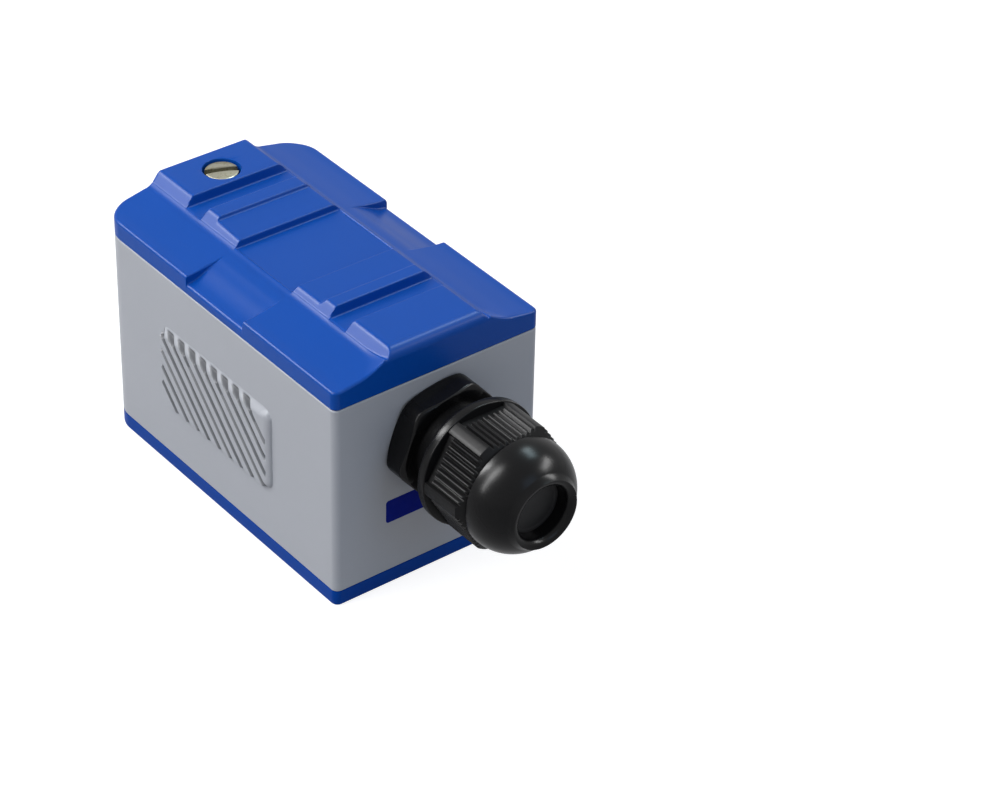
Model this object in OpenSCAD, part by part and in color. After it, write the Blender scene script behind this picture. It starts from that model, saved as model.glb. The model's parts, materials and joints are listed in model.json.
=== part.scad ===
// Clamp-on ultrasonic flow transducer, in millimetres.
// The origin is the centre of the flat face that sits on the pipe, +Z is up,
// and +X runs along the pipe towards the cable gland.

/* [Body] */
// Length of the body along the pipe
body_l = 64; // [60:0.5:76]
// Width of the body across the pipe
body_w = 39; // [38:0.5:46]
// Height of the moulded housing
housing_h = 34.35; // [34:0.05:38]
// Thickness of the housing's long walls
wall = 2.6; // [2.4:0.1:3]
// Thickness of the housing's end walls
end_wall = 3; // [2.6:0.1:3.6]
// Radius of the two corners at the gland end
front_r = 1.2; // [0.6:0.1:2]
// Radius of the two corners at the far end
rear_r = 5; // [4:0.25:7]

/* [Base] */
// Thickness of the base plate below the housing
base_t = 2.8; // [2:0.1:4]
// Height of the plug on the base plate that fills the housing's mouth
plug_h = 1; // [0.6:0.1:1.4]
// Bevel round the pipe face
base_bevel = 0.4; // [0.2:0.1:0.8]

/* [Grip pads] */
// Length of a ribbed pad on the long side
pad_l = 30.6; // [26:0.2:34]
// Height of a ribbed pad
pad_h = 15.4; // [12:0.2:18]
// Height of the pad's lower edge above the pipe face
pad_z = 12.4; // [11:0.2:14]
// How far a pad stands proud of the side
pad_t = 0.8; // [0.5:0.1:1.2]
// Corner radius of a pad
pad_r = 2; // [1:0.25:3]
// Width of the sloping edge towards the gland
pad_slope = 1.25; // [0.6:0.05:2]
// Number of slanting grooves in a pad
groove_n = 12; // [8:1:13]
// Distance from groove to groove along the side
groove_pitch = 3.05; // [2.6:0.05:3.2]
// Width of a groove
groove_w = 1; // [0.6:0.05:1.3]

/* [Cover] */
// Height of the cover's side at its ends
cover_edge_h = 3.25; // [3:0.05:4.5]
// Rise of the hollow shoulders from the side to the spine
shoulder_rise = 1.5; // [0.6:0.05:1.8]
// Height of the spine above the shoulders
spine_h = 2; // [1.8:0.1:3]
// Width of the spine at its foot
spine_foot_w = 21; // [19:0.2:24]
// Width of the spine at its top
spine_top_w = 16.8; // [14:0.2:18]
// Depth of the cross valleys in the spine
valley_d = 1.65; // [1:0.05:2]
// Radius along the cover's upper edge at the gland end
nose_r = 1.9; // [1:0.1:2.4]
// Depth of the cover's skirt inside the housing
skirt_d = 1.5; // [1:0.1:2]
// Thickness of the cover's skirt
skirt_t = 1.6; // [1.2:0.1:2]

/* [Strap seat] */
// Width of the clamping strap's seat across the cover
strap_w = 15.5; // [13:0.25:17]
// Drop of the strap seat at the cover's side
strap_drop = 1.45; // [1:0.05:1.6]
// Height of the strap seat's crown below the spine's top
crown_d = 2; // [1.6:0.1:2.3]

/* [Cover screw] */
// Thread diameter of the cover screw
screw_d = 3; // [2.5:0.5:3.5]
// Length of the cover screw under its head
screw_l = 12; // [11:0.5:13]
// Head diameter of the cover screw
head_d = 5.6; // [5:0.1:6]
// Head height of the cover screw
head_h = 2.2; // [1.6:0.1:2.4]
// Width of the driver slot
slot_w = 1; // [0.6:0.1:1.2]
// Depth of the head's top below the spine's top
head_sunk = 0.05; // [0:0.05:0.6]
// Diameter of the recess for the head
recess_d = 6.4; // [6.2:0.1:7.4]
// Distance of the screw from the cover's far end
screw_inset = 5.6; // [5.2:0.1:6.4]
// Thickness of the sealing ring under the head
ring_t = 1; // [0.8:0.1:1.4]
// Outer diameter of the brass insert
insert_d = 4.6; // [4.2:0.1:5]
// Length of the brass insert
insert_l = 6; // [4:0.5:7]

/* [Cable gland] */
// Height of the gland's axis above the base plate
gland_h = 22.9; // [22.7:0.1:23.7]
// Diameter of the thread through the end wall
entry_thread_d = 15.2; // [14.6:0.1:15.6]
// Length of the thread inside the end wall's outer face
entry_thread_l = 10; // [9:0.5:11]
// Width across flats of the hexagon flange
hex_af = 18.6; // [18:0.1:19]
// Thickness of the hexagon flange
hex_t = 4.5; // [3.5:0.1:5.5]
// Diameter of the thread that carries the dome nut
neck_thread_d = 16.4; // [15.8:0.1:16.6]
// Distance from the flange to the dome nut
nut_gap = 4.5; // [3:0.1:5]
// Travel of the dome nut towards the flange until it grips
nut_play = 1.2; // [0.8:0.1:1.2]
// Length of the dome nut
nut_l = 17.8; // [17:0.1:19]
// Outer diameter of the dome nut
nut_d = 21.6; // [21.2:0.1:22.4]
// Width across flats of the dome nut
nut_af = 19.4; // [19:0.1:19.6]
// Diameter of the dome where it leaves the flats
dome_d = 19.6; // [19.4:0.1:19.8]
// Number of fine ribs on each flat of the dome nut
rib_n = 11; // [7:1:13]
// Depth of the fine ribs
rib_d = 0.4; // [0.2:0.05:0.6]
// Diameter of the dome nut's mouth
mouth_d = 9.2; // [8:0.1:9.6]
// Diameter of the bore through the gland body
gland_bore_d = 10; // [9:0.1:10.6]
// Outer diameter of the rubber seal
seal_d = 12.2; // [11.8:0.1:12.6]
// Bore of the rubber seal
seal_bore_d = 5.2; // [4.6:0.1:6.4]
// Number of clamping fingers
finger_n = 8; // [6:1:10]

/* [Terminals] */
// Number of terminals
pole_n = 3; // [2:1:3]
// Distance between the terminals
pole_pitch = 5.08; // [5:0.01:5.1]
// Depth of the terminal block
block_l = 8.2; // [8:0.1:9]
// Height of the terminal block
block_h = 10; // [9.6:0.1:11]
// Diameter of a terminal screw's thread
term_d = 2.5; // [2.4:0.1:2.6]
// Head diameter of a terminal screw
term_head_d = 3.6; // [3.4:0.1:3.8]

/* [Terminal board] */
// Height of the board's underside above the base plate
board_h = 17.6; // [17.2:0.1:18.2]
// Thickness of the board
board_t = 1.6; // [1:0.1:1.6]
// Length of the board along the body
board_l = 30; // [28:0.5:32]
// Gap between the board and each long wall
board_gap = 1.1; // [0.6:0.1:2]

/* [Transducer stack] */
// Angle of the crystal's face
wedge_angle = 38; // [34:0.5:42]
// Width of the acoustic wedge
wedge_w = 20; // [16:0.5:22]
// Diameter of the crystal
crystal_d = 10; // [8:0.5:11]
// Thickness of the crystal
crystal_t = 1.5; // [1:0.1:2]
// Thickness of the damping block behind the crystal
backing_t = 3; // [2:0.1:3.2]
// How far the damping block is smaller than the crystal
backing_step = 1.5; // [1.3:0.1:2.5]
// Gap between the casting resin and the gland's locknut
resin_gap = 0.5; // [0.4:0.1:0.8]
// Diameter of an inner lead
lead_d = 1.2; // [1:0.1:1.4]

/* [Clearances] */
// Gap at the seam between housing and cover
seam_gap = 0.1; // [0.05:0.01:0.2]
// Radial gap of a turning or threaded fit
fit_gap = 0.05; // [0.03:0.01:0.08]
// Gap between pieces that slide past each other
slide_gap = 0.2; // [0.15:0.01:0.25]
// Gap at a stop or a seat
seat_gap = 0.3; // [0.2:0.05:0.35]

/* [Hidden] */
$fn = 64;
eps = 0.01;

// Heights that several pieces share
housing_top = base_t + housing_h;
cover_z = housing_top + seam_gap;
plug_top = base_t + plug_h;
gland_z = base_t + gland_h;
board_z = base_t + board_h;
board_top = board_z + board_t;

// Outlines of the housing's inside
inner_l = body_l - 2 * end_wall;
inner_w = body_w - 2 * wall;
inner_front_r = 1;
inner_rear_r = rear_r - 2;
ledge_w = 1;
ledge_d = 1;
end_x = body_l / 2;
inner_end_x = inner_l / 2;

// Cover heights
edge_z = cover_z + cover_edge_h;
shoulder_z = edge_z + shoulder_rise;
top_z = shoulder_z + spine_h;
crown_z = top_z - crown_d;
valley_z = top_z - valley_d;
seat_edge_z = edge_z - strap_drop;
seat_foot_z = crown_z - 0.35;
shoulder_steps = 7;
ramp_high_z = top_z - 0.6;
ramp_low_z = crown_z + 1.2;
roof_t = 2;
roof_flank_z = seat_edge_z - 0.5;
roof_spine_z = crown_z - roof_t;

// Cover screw
screw_x = screw_inset - end_x;
head_top_z = top_z - head_sunk;
head_z = head_top_z - head_h;
ring_z = head_z - fit_gap - ring_t;
recess_z = ring_z - fit_gap;
screw_r = screw_d / 2;
screw_hole_r = screw_r + 0.25;
post_r = recess_d / 2 + 0.6;
cover_post_z = cover_z - skirt_d;
boss_top = cover_post_z - seat_gap;
insert_z = boss_top - insert_l;
slot_angle = 67;

// Cable gland, measured along X from the end wall's outer face
flange_x = end_x;
neck_x = flange_x + hex_t;
nut_x = neck_x + nut_gap;
nut_end_x = nut_x + nut_l;
entry_r = entry_thread_d / 2;
neck_r = neck_thread_d / 2;
nut_bore_r = neck_r + fit_gap;
collar_l = 1.7;
rib_stop_l = 7.6;
rib_end_x = nut_end_x - rib_stop_l;
dome_r = 7.4;
dome_l = 6.8;
dome_x = nut_end_x - dome_l;
mouth_lip = 1;
mouth_l = 1.7;
mouth_x = nut_end_x - mouth_lip - mouth_l;
disc_t = 0.8;
disc_x = mouth_x - seat_gap - disc_t;
disc_r = mouth_d / 2 + 2;
cap_r = disc_r + seat_gap;
seal_flange_t = 1;
seal_flange_x = disc_x - seal_flange_t;
finger_r = (seal_d / 2) + slide_gap;
finger_wall = 1.1;
finger_end_x = seal_flange_x - 1.5;
finger_x = nut_x + 5;
seal_x = finger_x - 4;
hex_turn = 10;
ridge_angle = 13;
ridge_r = nut_d / 2 - 0.15;
nut_core_r = nut_af / 2 - rib_d - 0.3;
gasket_t = 1;
gasket_r = entry_r + 1.3;
locknut_af = 18;
locknut_t = 3.8;
resin_top = gland_z - locknut_af / 2 - resin_gap;

// Terminals
block_w = pole_n * pole_pitch;
block_x = 8;
block_chin_h = 6.2;
block_step = 1.2;
block_back_step = 0.8;
block_back_h = 3;
pole_inset = 3.8;
pole_x = block_x - pole_inset;
cage_w = 3.8;
cage_l = 4;
cage_wall = 0.7;
window_h = 2.3;
cage_floor = 0.9;
cage_z = board_top + cage_floor;
roof_extra = 0.1;
cage_h = window_h + 2 * cage_wall + roof_extra;
cage_travel = 1.35;
bar_t = 0.45;
bar_gap = 0.25;
bar_z = cage_z + cage_wall + cage_travel + bar_gap;
term_r = term_d / 2;
term_tip_z = bar_z + bar_t + fit_gap;
term_head_h = 1.6;
term_head_z = board_top + block_h - term_head_h - 1;
pin_d = 1;
pin_tail = 1.4;
pin_inset = 1.3;
pin_x = block_x - block_l + pin_inset;
bar_w = 1.8;
bar_end_x = pole_x + cage_l / 2 - slide_gap;

// Board, and the screws that hold it on its studs
board_x = -3;
board_w = inner_w - 2 * board_gap;
screw_inset_x = 3.5;
screw_inset_y = 2.6;
screw_at = [for (sx = [-1, 1]) [board_x + sx * (board_l / 2 - screw_inset_x), board_w / 2 - screw_inset_y]];
stud_r = 2.3;
board_screw_r = 1;
board_screw_l = 4;
board_hole_l = 5;
board_head_r = 1.9;
board_head_h = 1.1;
board_slot_w = 0.5;
board_slot_d = 0.6;

// Transducer stack: the crystal's centre on the wedge
wedge_x = 19;
wedge_nose_h = 1.2;
slope_l = crystal_d + 2.4;
crystal_x = wedge_x - slope_l / 2 * cos(wedge_angle);
crystal_z = plug_top + wedge_nose_h + slope_l / 2 * sin(wedge_angle);
wedge_top_z = plug_top + wedge_nose_h + slope_l * sin(wedge_angle);
wedge_back_x = -14;
backing_d = crystal_d - backing_step;
lead_r = lead_d / 2;
lead_bend = 1.3;
lead_step = 3;
lead_sides = 10;
lead_x = crystal_x;
lead_y = crystal_d / 2;
lead_foot_z = crystal_z + crystal_t / cos(wedge_angle) + lead_r * tan(wedge_angle) + fit_gap;
lead_turn_z = board_z - 2 * lead_bend;

function flip(s) = s < 0 ? 1 : 0;

// Cuts one upright corner of a block to a radius
module corner_cut(l, w, h, r, sx, sy) {
    mirror([flip(sx), 0, 0]) mirror([0, flip(sy), 0])
        translate([l / 2 - r, w / 2 - r, -eps]) difference() {
            cube([r + 1, r + 1, h + 2 * eps]);
            translate([0, 0, -1]) cylinder(r = r, h = h + 2);
        }
}

// Block with its own corner radius at the gland end and at the far end
module slab(l, w, h, rf, rr) {
    difference() {
        translate([-l / 2, -w / 2, 0]) cube([l, w, h]);
        for (sy = [-1, 1]) {
            corner_cut(l, w, h, rf, 1, sy);
            corner_cut(l, w, h, rr, -1, sy);
        }
    }
}

// Puts a part drawn along Z on the gland's axis, at a place along X
module on_gland(x) {
    translate([x, 0, gland_z]) rotate([90, 0, 90]) children();
}

// Solid with a six-sided outline, its corners cut by a cone at both ends
module hexagon(af, t, bevel) {
    corner = af / 2 / cos(30);
    intersection() {
        cylinder(r = corner, h = t, $fn = 6);
        rotate_extrude() polygon([[0, 0], [corner - bevel * 2, 0], [corner - bevel * 0.6, bevel],
            [corner - bevel * 0.6, t - bevel], [corner - bevel * 2, t], [0, t]]);
    }
}

// Upright prism from a side view drawn in X and Z
module side_prism(points, w) {
    translate([0, w / 2, 0]) rotate([90, 0, 0]) linear_extrude(w) polygon(points);
}

// Prism along X from an end view drawn in Y and Z
module end_prism(points, x, l) {
    translate([x, 0, 0]) rotate([90, 0, 90]) linear_extrude(l) polygon(points);
}

// Grip pad on the side that faces -Y
module grip_pad() {
    x0 = -pad_l / 2;
    x1 = pad_l / 2;
    run = groove_pitch * (groove_n - 1);
    difference() {
        intersection() {
            translate([0, -body_w / 2 - pad_t, pad_z + pad_h / 2]) rotate([-90, 0, 0]) slab_pad();
            translate([0, 0, pad_z - 1]) linear_extrude(pad_h + 2) polygon([[x0, -body_w / 2 + 0.5],
                [x0, -body_w / 2 - pad_t], [x1 - pad_slope, -body_w / 2 - pad_t],
                [x1, -body_w / 2], [x1, -body_w / 2 + 0.5]]);
        }
        intersection() {
            translate([x0 - 1, -body_w / 2 - pad_t - 1, pad_z - 1])
                cube([pad_l - pad_slope + 0.6, pad_t + 1, pad_h + 1 - 0.45]);
            for (i = [0 : groove_n - 1])
                translate([x0 - pad_h + 5.4 + i * groove_pitch, -body_w / 2, pad_z + pad_h])
                    rotate([0, 45, 0]) translate([-1, -pad_t - 1, -groove_w / 2])
                        cube([pad_h * 2, pad_t + 1, groove_w]);
        }
    }
}

module slab_pad() {
    slab(pad_l, pad_h, pad_t + 0.5, pad_r, pad_r);
}

// Moulded housing, open above and below, with the screw boss, the board's studs and the grip pads
module housing() {
    color([0.64, 0.66, 0.69]) difference() {
        union() {
            difference() {
                translate([0, 0, base_t]) slab(body_l, body_w, housing_h, front_r, rear_r);
                translate([0, 0, base_t - 1])
                    slab(inner_l, inner_w, housing_h + 2, inner_front_r, inner_rear_r);
                translate([0, 0, housing_top - ledge_d]) slab(inner_l + 2 * ledge_w,
                    inner_w + 2 * ledge_w, ledge_d + 1, inner_front_r + ledge_w, inner_rear_r + ledge_w);
            }
            for (sy = [0, 1]) mirror([0, sy, 0]) grip_pad();
            screw_boss(0);
            board_studs(0);
        }
        translate([screw_x, 0, insert_z]) cylinder(d = insert_d, h = insert_l + 1);
        translate([screw_x, 0, insert_z - 2.5]) cylinder(r = screw_hole_r, h = 3);
        for (p = screw_at, sy = [-1, 1])
            translate([p[0], sy * p[1], board_z - board_hole_l])
                cylinder(r = board_screw_r, h = board_hole_l + 1);
        on_gland(inner_end_x - 1) cylinder(r = entry_r + slide_gap, h = end_wall + 2);
    }
}

// Boss for the insert, joined to the far end wall; grow leaves room round it in the resin
module screw_boss(grow) {
    r = post_r - 0.5;
    z = plug_top;
    h = boss_top - z;
    translate([screw_x, 0, z]) cylinder(r = r + grow, h = h);
    translate([-inner_end_x - 0.5, -r - grow, z]) cube([screw_x + inner_end_x + 0.5, 2 * (r + grow), h]);
}

// Studs under the board, each joined to the long wall beside it
module board_studs(grow) {
    z = plug_top;
    for (p = screw_at, sy = [-1, 1]) {
        translate([p[0], sy * p[1], z]) cylinder(r = stud_r + grow, h = board_z - z);
        mirror([0, flip(sy), 0]) translate([p[0] - 1 - grow, p[1], z])
            cube([2 + 2 * grow, inner_w / 2 + 0.5 - p[1], board_z - z]);
    }
}

// Blue plate that closes the housing below; its underside is the pipe face
module base_plate() {
    color([0.12, 0.27, 0.62]) union() {
        difference() {
            slab(body_l, body_w, base_t, front_r, rear_r);
            for (sy = [0, 1]) mirror([0, sy, 0]) translate([-body_l, body_w / 2, 0])
                rotate([45, 0, 0]) translate([0, -base_bevel * 0.7071, -base_bevel * 0.7071])
                    cube([2 * body_l, base_bevel * 1.4142, base_bevel * 1.4142]);
            for (sx = [0, 1]) mirror([sx, 0, 0]) translate([body_l / 2, -body_w, 0])
                rotate([0, 45, 0]) translate([-base_bevel * 0.7071, 0, -base_bevel * 0.7071])
                    cube([base_bevel * 1.4142, 2 * body_w, base_bevel * 1.4142]);
        }
        translate([0, 0, base_t - eps]) slab(inner_l - 2 * slide_gap, inner_w - 2 * slide_gap,
            plug_h + eps, inner_front_r, inner_rear_r);
    }
}

// Side view of the wedge, from its blunt nose under the gland to its back
module wedge_shape(w) {
    side_prism([[wedge_back_x, plug_top], [wedge_x, plug_top], [wedge_x, plug_top + wedge_nose_h],
        [wedge_x - slope_l * cos(wedge_angle), wedge_top_z],
        [wedge_back_x + 5, wedge_top_z], [wedge_back_x, wedge_top_z - 5]], w);
}

module wedge() {
    color([0.80, 0.62, 0.30]) wedge_shape(wedge_w);
}

// Puts a disc drawn along Z on the crystal's seat
module on_wedge(h) {
    translate([crystal_x, 0, crystal_z]) rotate([0, wedge_angle, 0]) translate([0, 0, h]) children();
}

module crystal() {
    color([0.86, 0.84, 0.78]) on_wedge(0) cylinder(d = crystal_d, h = crystal_t);
}

module backing_block() {
    color([0.25, 0.25, 0.27]) on_wedge(crystal_t) cylinder(d = backing_d, h = backing_t);
}

// Resin cast round the stack, with the leads running up through it
module casting_resin() {
    color([0.10, 0.10, 0.11]) difference() {
        translate([0, 0, plug_top]) slab(inner_l, inner_w, resin_top - plug_top, inner_front_r, inner_rear_r);
        wedge_shape(wedge_w);
        on_wedge(0) cylinder(d = crystal_d, h = crystal_t);
        on_wedge(crystal_t) cylinder(d = backing_d, h = backing_t);
        screw_boss(0);
        board_studs(0);
        for (sy = [-1, 1]) translate([lead_x, sy * lead_y, lead_foot_z])
            cylinder(r = lead_r, h = resin_top - lead_foot_z + 1);
    }
}

// Rings along a lead's route: place in X and Z, and the direction of the ring's first point
function lead_rings() = concat(
    [[0, lead_foot_z, 1, 0]],
    [for (a = [0 : 22.5 : 90]) [lead_bend * (cos(a) - 1), lead_turn_z + lead_bend * sin(a), cos(a), sin(a)]],
    [for (a = [0 : 22.5 : 90]) [-lead_bend * (1 + sin(a)) - lead_step,
        lead_turn_z + lead_bend * (2 - cos(a)), sin(a), cos(a)]]);

// Insulated lead from the crystal's rim: up through the resin, sideways, and up to the board's underside
module lead(sy) {
    rings = lead_rings();
    n = lead_sides;
    last = len(rings) - 1;
    translate([lead_x, sy * lead_y, 0]) polyhedron(
        points = [for (q = rings, k = [0 : n - 1]) let (c = cos(360 * k / n))
            [q[0] + lead_r * c * q[2], lead_r * sin(360 * k / n), q[1] + lead_r * c * q[3]]],
        faces = concat(
            [for (i = [0 : last - 1], k = [0 : n - 1])
                [i * n + k, (i + 1) * n + k, (i + 1) * n + (k + 1) % n, i * n + (k + 1) % n]],
            [[for (k = [0 : n - 1]) k]],
            [[for (k = [n - 1 : -1 : 0]) last * n + k]]));
}

module signal_lead() {
    color([0.75, 0.10, 0.08]) lead(1);
}

module return_lead() {
    color([0.08, 0.08, 0.08]) lead(-1);
}

function pole_y(i) = (i - (pole_n - 1) / 2) * pole_pitch;

// Board on its four studs, with a hole for each screw and each pin
module terminal_board() {
    color([0.06, 0.35, 0.18]) difference() {
        translate([board_x - board_l / 2, -board_w / 2, board_z]) cube([board_l, board_w, board_t]);
        for (p = screw_at, sy = [-1, 1])
            translate([p[0], sy * p[1], board_z - 1]) cylinder(r = board_screw_r + 0.15, h = board_t + 2);
        for (i = [0 : pole_n - 1])
            translate([pin_x, pole_y(i), board_z - 1]) cylinder(d = pin_d + 2 * slide_gap, h = board_t + 2);
    }
}

module board_screws() {
    color([0.75, 0.75, 0.76]) for (p = screw_at, sy = [-1, 1])
        translate([p[0], sy * p[1], board_top]) difference() {
            union() {
                cylinder(r = board_head_r, h = board_head_h);
                translate([0, 0, -board_t - board_screw_l])
                    cylinder(r = board_screw_r - fit_gap, h = board_t + board_screw_l + eps);
            }
            for (a = [0, 90]) rotate(a)
                translate([-board_head_r * 0.7, -board_slot_w / 2, board_head_h - board_slot_d])
                    cube([board_head_r * 1.4, board_slot_w, 2 * board_slot_d]);
        }
}

// Side view of the terminal block, with a slope above the wire mouths and one at its back
function block_side() = [[block_x - block_l, 0], [block_x, 0], [block_x, block_chin_h],
    [block_x - block_step, block_chin_h + block_step], [block_x - block_step, block_h],
    [block_x - block_l + block_back_step, block_h],
    [block_x - block_l + block_back_step, block_h - block_back_h],
    [block_x - block_l, block_h - block_back_h - block_back_step]];

// Terminal block: a wire mouth, a cage chamber and a screw shaft for each terminal
module terminal_block() {
    color([0.10, 0.42, 0.25]) difference() {
        translate([0, 0, board_top]) side_prism(block_side(), block_w);
        for (i = [0 : pole_n - 1]) translate([pole_x, pole_y(i), 0]) {
            cage_chamber();
            translate([0, 0, cage_z + cage_h + cage_travel]) cylinder(r = term_r + slide_gap, h = block_h);
            translate([0, 0, term_head_z - fit_gap])
                cylinder(d = term_head_d + 2 * slide_gap, h = block_h);
            translate([0, -cage_w / 2 + 0.5, cage_z + 0.3])
                cube([block_l, cage_w - 1, window_h + cage_travel + 0.6]);
        }
        for (i = [0 : pole_n - 1]) translate([0, pole_y(i), 0]) pin_solid(slide_gap);
    }
}

// Space in which one cage rides up and down
module cage_chamber() {
    translate([-cage_l / 2 - slide_gap, -cage_w / 2 - slide_gap, cage_z - seat_gap])
        cube([cage_l + 2 * slide_gap, cage_w + 2 * slide_gap, cage_h + cage_travel + 2 * seat_gap]);
}

// Pin with the contact bar on which a wire is clamped; grow leaves room round it in the block
module pin_solid(grow) {
    translate([pin_x, 0, board_z - pin_tail])
        cylinder(r = pin_d / 2 + grow, h = bar_z + bar_t - board_z + pin_tail);
    translate([pin_x - grow, -bar_w / 2 - grow, bar_z - grow])
        cube([bar_end_x - pin_x, bar_w + 2 * grow, bar_t + 2 * grow]);
}

module terminal_pins() {
    color([0.80, 0.78, 0.70]) for (i = [0 : pole_n - 1]) translate([0, pole_y(i), 0]) pin_solid(0);
}

// Rising cage: its floor lifts the wire against the contact bar
module cage(i) {
    color([0.78, 0.64, 0.32]) translate([pole_x, pole_y(i), cage_z]) difference() {
        translate([-cage_l / 2, -cage_w / 2, 0]) cube([cage_l, cage_w, cage_h]);
        translate([-cage_l, -cage_w / 2 + cage_wall, cage_wall])
            cube([2 * cage_l, cage_w - 2 * cage_wall, window_h]);
        translate([0, 0, 2 * cage_wall]) cylinder(r = term_r + fit_gap, h = cage_h);
    }
}

module clamp_screw(i) {
    color([0.74, 0.74, 0.75]) translate([pole_x, pole_y(i), 0]) difference() {
        union() {
            translate([0, 0, term_tip_z]) cylinder(r = term_r, h = term_head_z - term_tip_z + eps);
            translate([0, 0, term_head_z]) cylinder(d = term_head_d, h = term_head_h);
        }
        translate([-term_head_d, -0.3, term_head_z + term_head_h - 0.8]) cube([2 * term_head_d, 0.6, 1]);
    }
}

module clamp_cage_1() { cage(0); }
module clamp_cage_2() { cage(1); }
module clamp_cage_3() { cage(2); }
module clamp_screw_1() { clamp_screw(0); }
module clamp_screw_2() { clamp_screw(1); }
module clamp_screw_3() { clamp_screw(2); }

// Knurled brass insert pressed into the boss
module screw_insert() {
    color([0.80, 0.64, 0.30]) translate([screw_x, 0, insert_z]) difference() {
        cylinder(d = insert_d, h = insert_l);
        translate([0, 0, -1]) cylinder(r = screw_r + fit_gap, h = insert_l + 2);
    }
}

// Flat rubber frame on the housing's ledge
module cover_gasket() {
    side = 0.05;
    l = inner_l + 2 * ledge_w - 2 * side;
    w = inner_w + 2 * ledge_w - 2 * side;
    inset = ledge_w - side;
    color([0.12, 0.12, 0.12]) translate([0, 0, housing_top - ledge_d]) difference() {
        slab(l, w, ledge_d + seam_gap / 2, inner_front_r + ledge_w, inner_rear_r + ledge_w);
        translate([0, 0, -1]) slab(l - 2 * inset, w - 2 * inset, ledge_d + 2, inner_front_r, inner_rear_r);
    }
}

// Steps along the spine, counted outwards from the strap's seat: place and height
function rear_steps() = [[0, crown_z], [0.2, ramp_low_z], [6.65, ramp_high_z], [6.85, top_z],
    [9.8, top_z], [10.1, valley_z], [13.5, valley_z], [14.5, top_z]];
function front_steps() = [[0, crown_z], [0.2, ramp_low_z], [6.2, ramp_low_z], [6.85, top_z],
    [9.3, top_z], [9.6, valley_z], [13.8, valley_z], [14, top_z]];

// Side view of the spine, from the far end to the gland end
function spine_side() = concat(
    [[-end_x, cover_z], [-end_x, top_z - 1.6], [-end_x + 0.4, top_z]],
    [for (i = [len(rear_steps()) - 1 : -1 : 0]) [strap_rear() - rear_steps()[i][0], rear_steps()[i][1]]],
    [for (s = front_steps()) [strap_front() + s[0], s[1]]],
    [[end_x, top_z], [end_x, cover_z]]);

function strap_rear() = -strap_w / 2;
function strap_front() = strap_w / 2;

// End view of the shoulders, which rise with the square of the distance from the side
function shoulder_line(side) = [for (i = [0 : shoulder_steps]) let (t = i / shoulder_steps)
    [side * (body_w - t * (body_w - spine_foot_w)) / 2, edge_z + shoulder_rise * t * t]];
function shoulder_end() = concat([[-body_w / 2, cover_z]], shoulder_line(-1),
    [for (i = [shoulder_steps : -1 : 0]) shoulder_line(1)[i]], [[body_w / 2, cover_z]]);

// End view of the strap's seat, and of the spine above both
function seat_end() = [[-body_w / 2, cover_z], [-body_w / 2, seat_edge_z], [-spine_foot_w / 2, seat_foot_z],
    [spine_foot_w / 2, seat_foot_z], [body_w / 2, seat_edge_z], [body_w / 2, cover_z]];
function spine_end() = [[-spine_foot_w / 2, cover_z], [-spine_foot_w / 2, seat_foot_z],
    [-spine_top_w / 2, top_z], [spine_top_w / 2, top_z], [spine_foot_w / 2, seat_foot_z],
    [spine_foot_w / 2, cover_z]];

// Outside of the cover: shoulders at both ends, the strap's seat between them, the spine along the middle
module cover_outside() {
    intersection() {
        translate([0, 0, cover_z]) slab(body_l, body_w, top_z - cover_z + 1, front_r, rear_r);
        union() {
            end_prism(shoulder_end(), -end_x, end_x + strap_rear());
            end_prism(seat_end(), strap_rear() - eps, strap_w + 2 * eps);
            end_prism(shoulder_end(), strap_front(), end_x - strap_front());
            intersection() {
                end_prism(spine_end(), -end_x, body_l);
                side_prism(spine_side(), body_w);
            }
        }
        nose_limit();
    }
}

// Rounds the spine's upper edge at the gland end
module nose_limit() {
    difference() {
        translate([-body_l, -body_w, cover_z - 1]) cube([2 * body_l, 2 * body_w, top_z - cover_z + 2]);
        translate([end_x - nose_r, -body_w, top_z - nose_r]) difference() {
            cube([nose_r + 1, 2 * body_w, nose_r + 2]);
            translate([0, -1, 0]) rotate([-90, 0, 0]) cylinder(r = nose_r, h = 2 * body_w + 2);
        }
    }
}

// Blue cover with its skirt, the post for the screw and the recess for the head
module cover() {
    skirt_l = inner_l - 2 * slide_gap;
    skirt_w = inner_w - 2 * slide_gap;
    r_in = max(inner_front_r - 0.6, 0.3);
    color([0.18, 0.36, 0.67]) difference() {
        union() {
            difference() {
                union() {
                    cover_outside();
                    translate([0, 0, cover_post_z]) slab(skirt_l, skirt_w, skirt_d + 0.5,
                        inner_front_r, inner_rear_r);
                }
                translate([0, 0, cover_post_z - 1]) slab(skirt_l - 2 * skirt_t, skirt_w - 2 * skirt_t,
                    roof_flank_z - cover_post_z + 1, r_in, inner_rear_r);
                translate([0, 0, cover_post_z - 1]) slab(skirt_l - 2 * skirt_t, spine_top_w - 2,
                    roof_spine_z - cover_post_z + 1, r_in, r_in);
            }
            intersection() {
                translate([screw_x, 0, cover_post_z])
                    cylinder(r = post_r, h = roof_spine_z - cover_post_z + 0.5);
                translate([0, 0, cover_post_z]) slab(skirt_l, skirt_w, top_z, inner_front_r, inner_rear_r);
            }
        }
        translate([screw_x, 0, cover_post_z - 1]) cylinder(r = screw_hole_r, h = top_z);
        translate([screw_x, 0, recess_z]) cylinder(d = recess_d, h = top_z);
    }
}

// Rubber ring under the screw's head
module screw_seal() {
    color([0.10, 0.10, 0.10]) translate([screw_x, 0, ring_z]) difference() {
        cylinder(d = recess_d - 2 * slide_gap, h = ring_t);
        translate([0, 0, -1]) cylinder(r = screw_r + fit_gap, h = ring_t + 2);
    }
}

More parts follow.
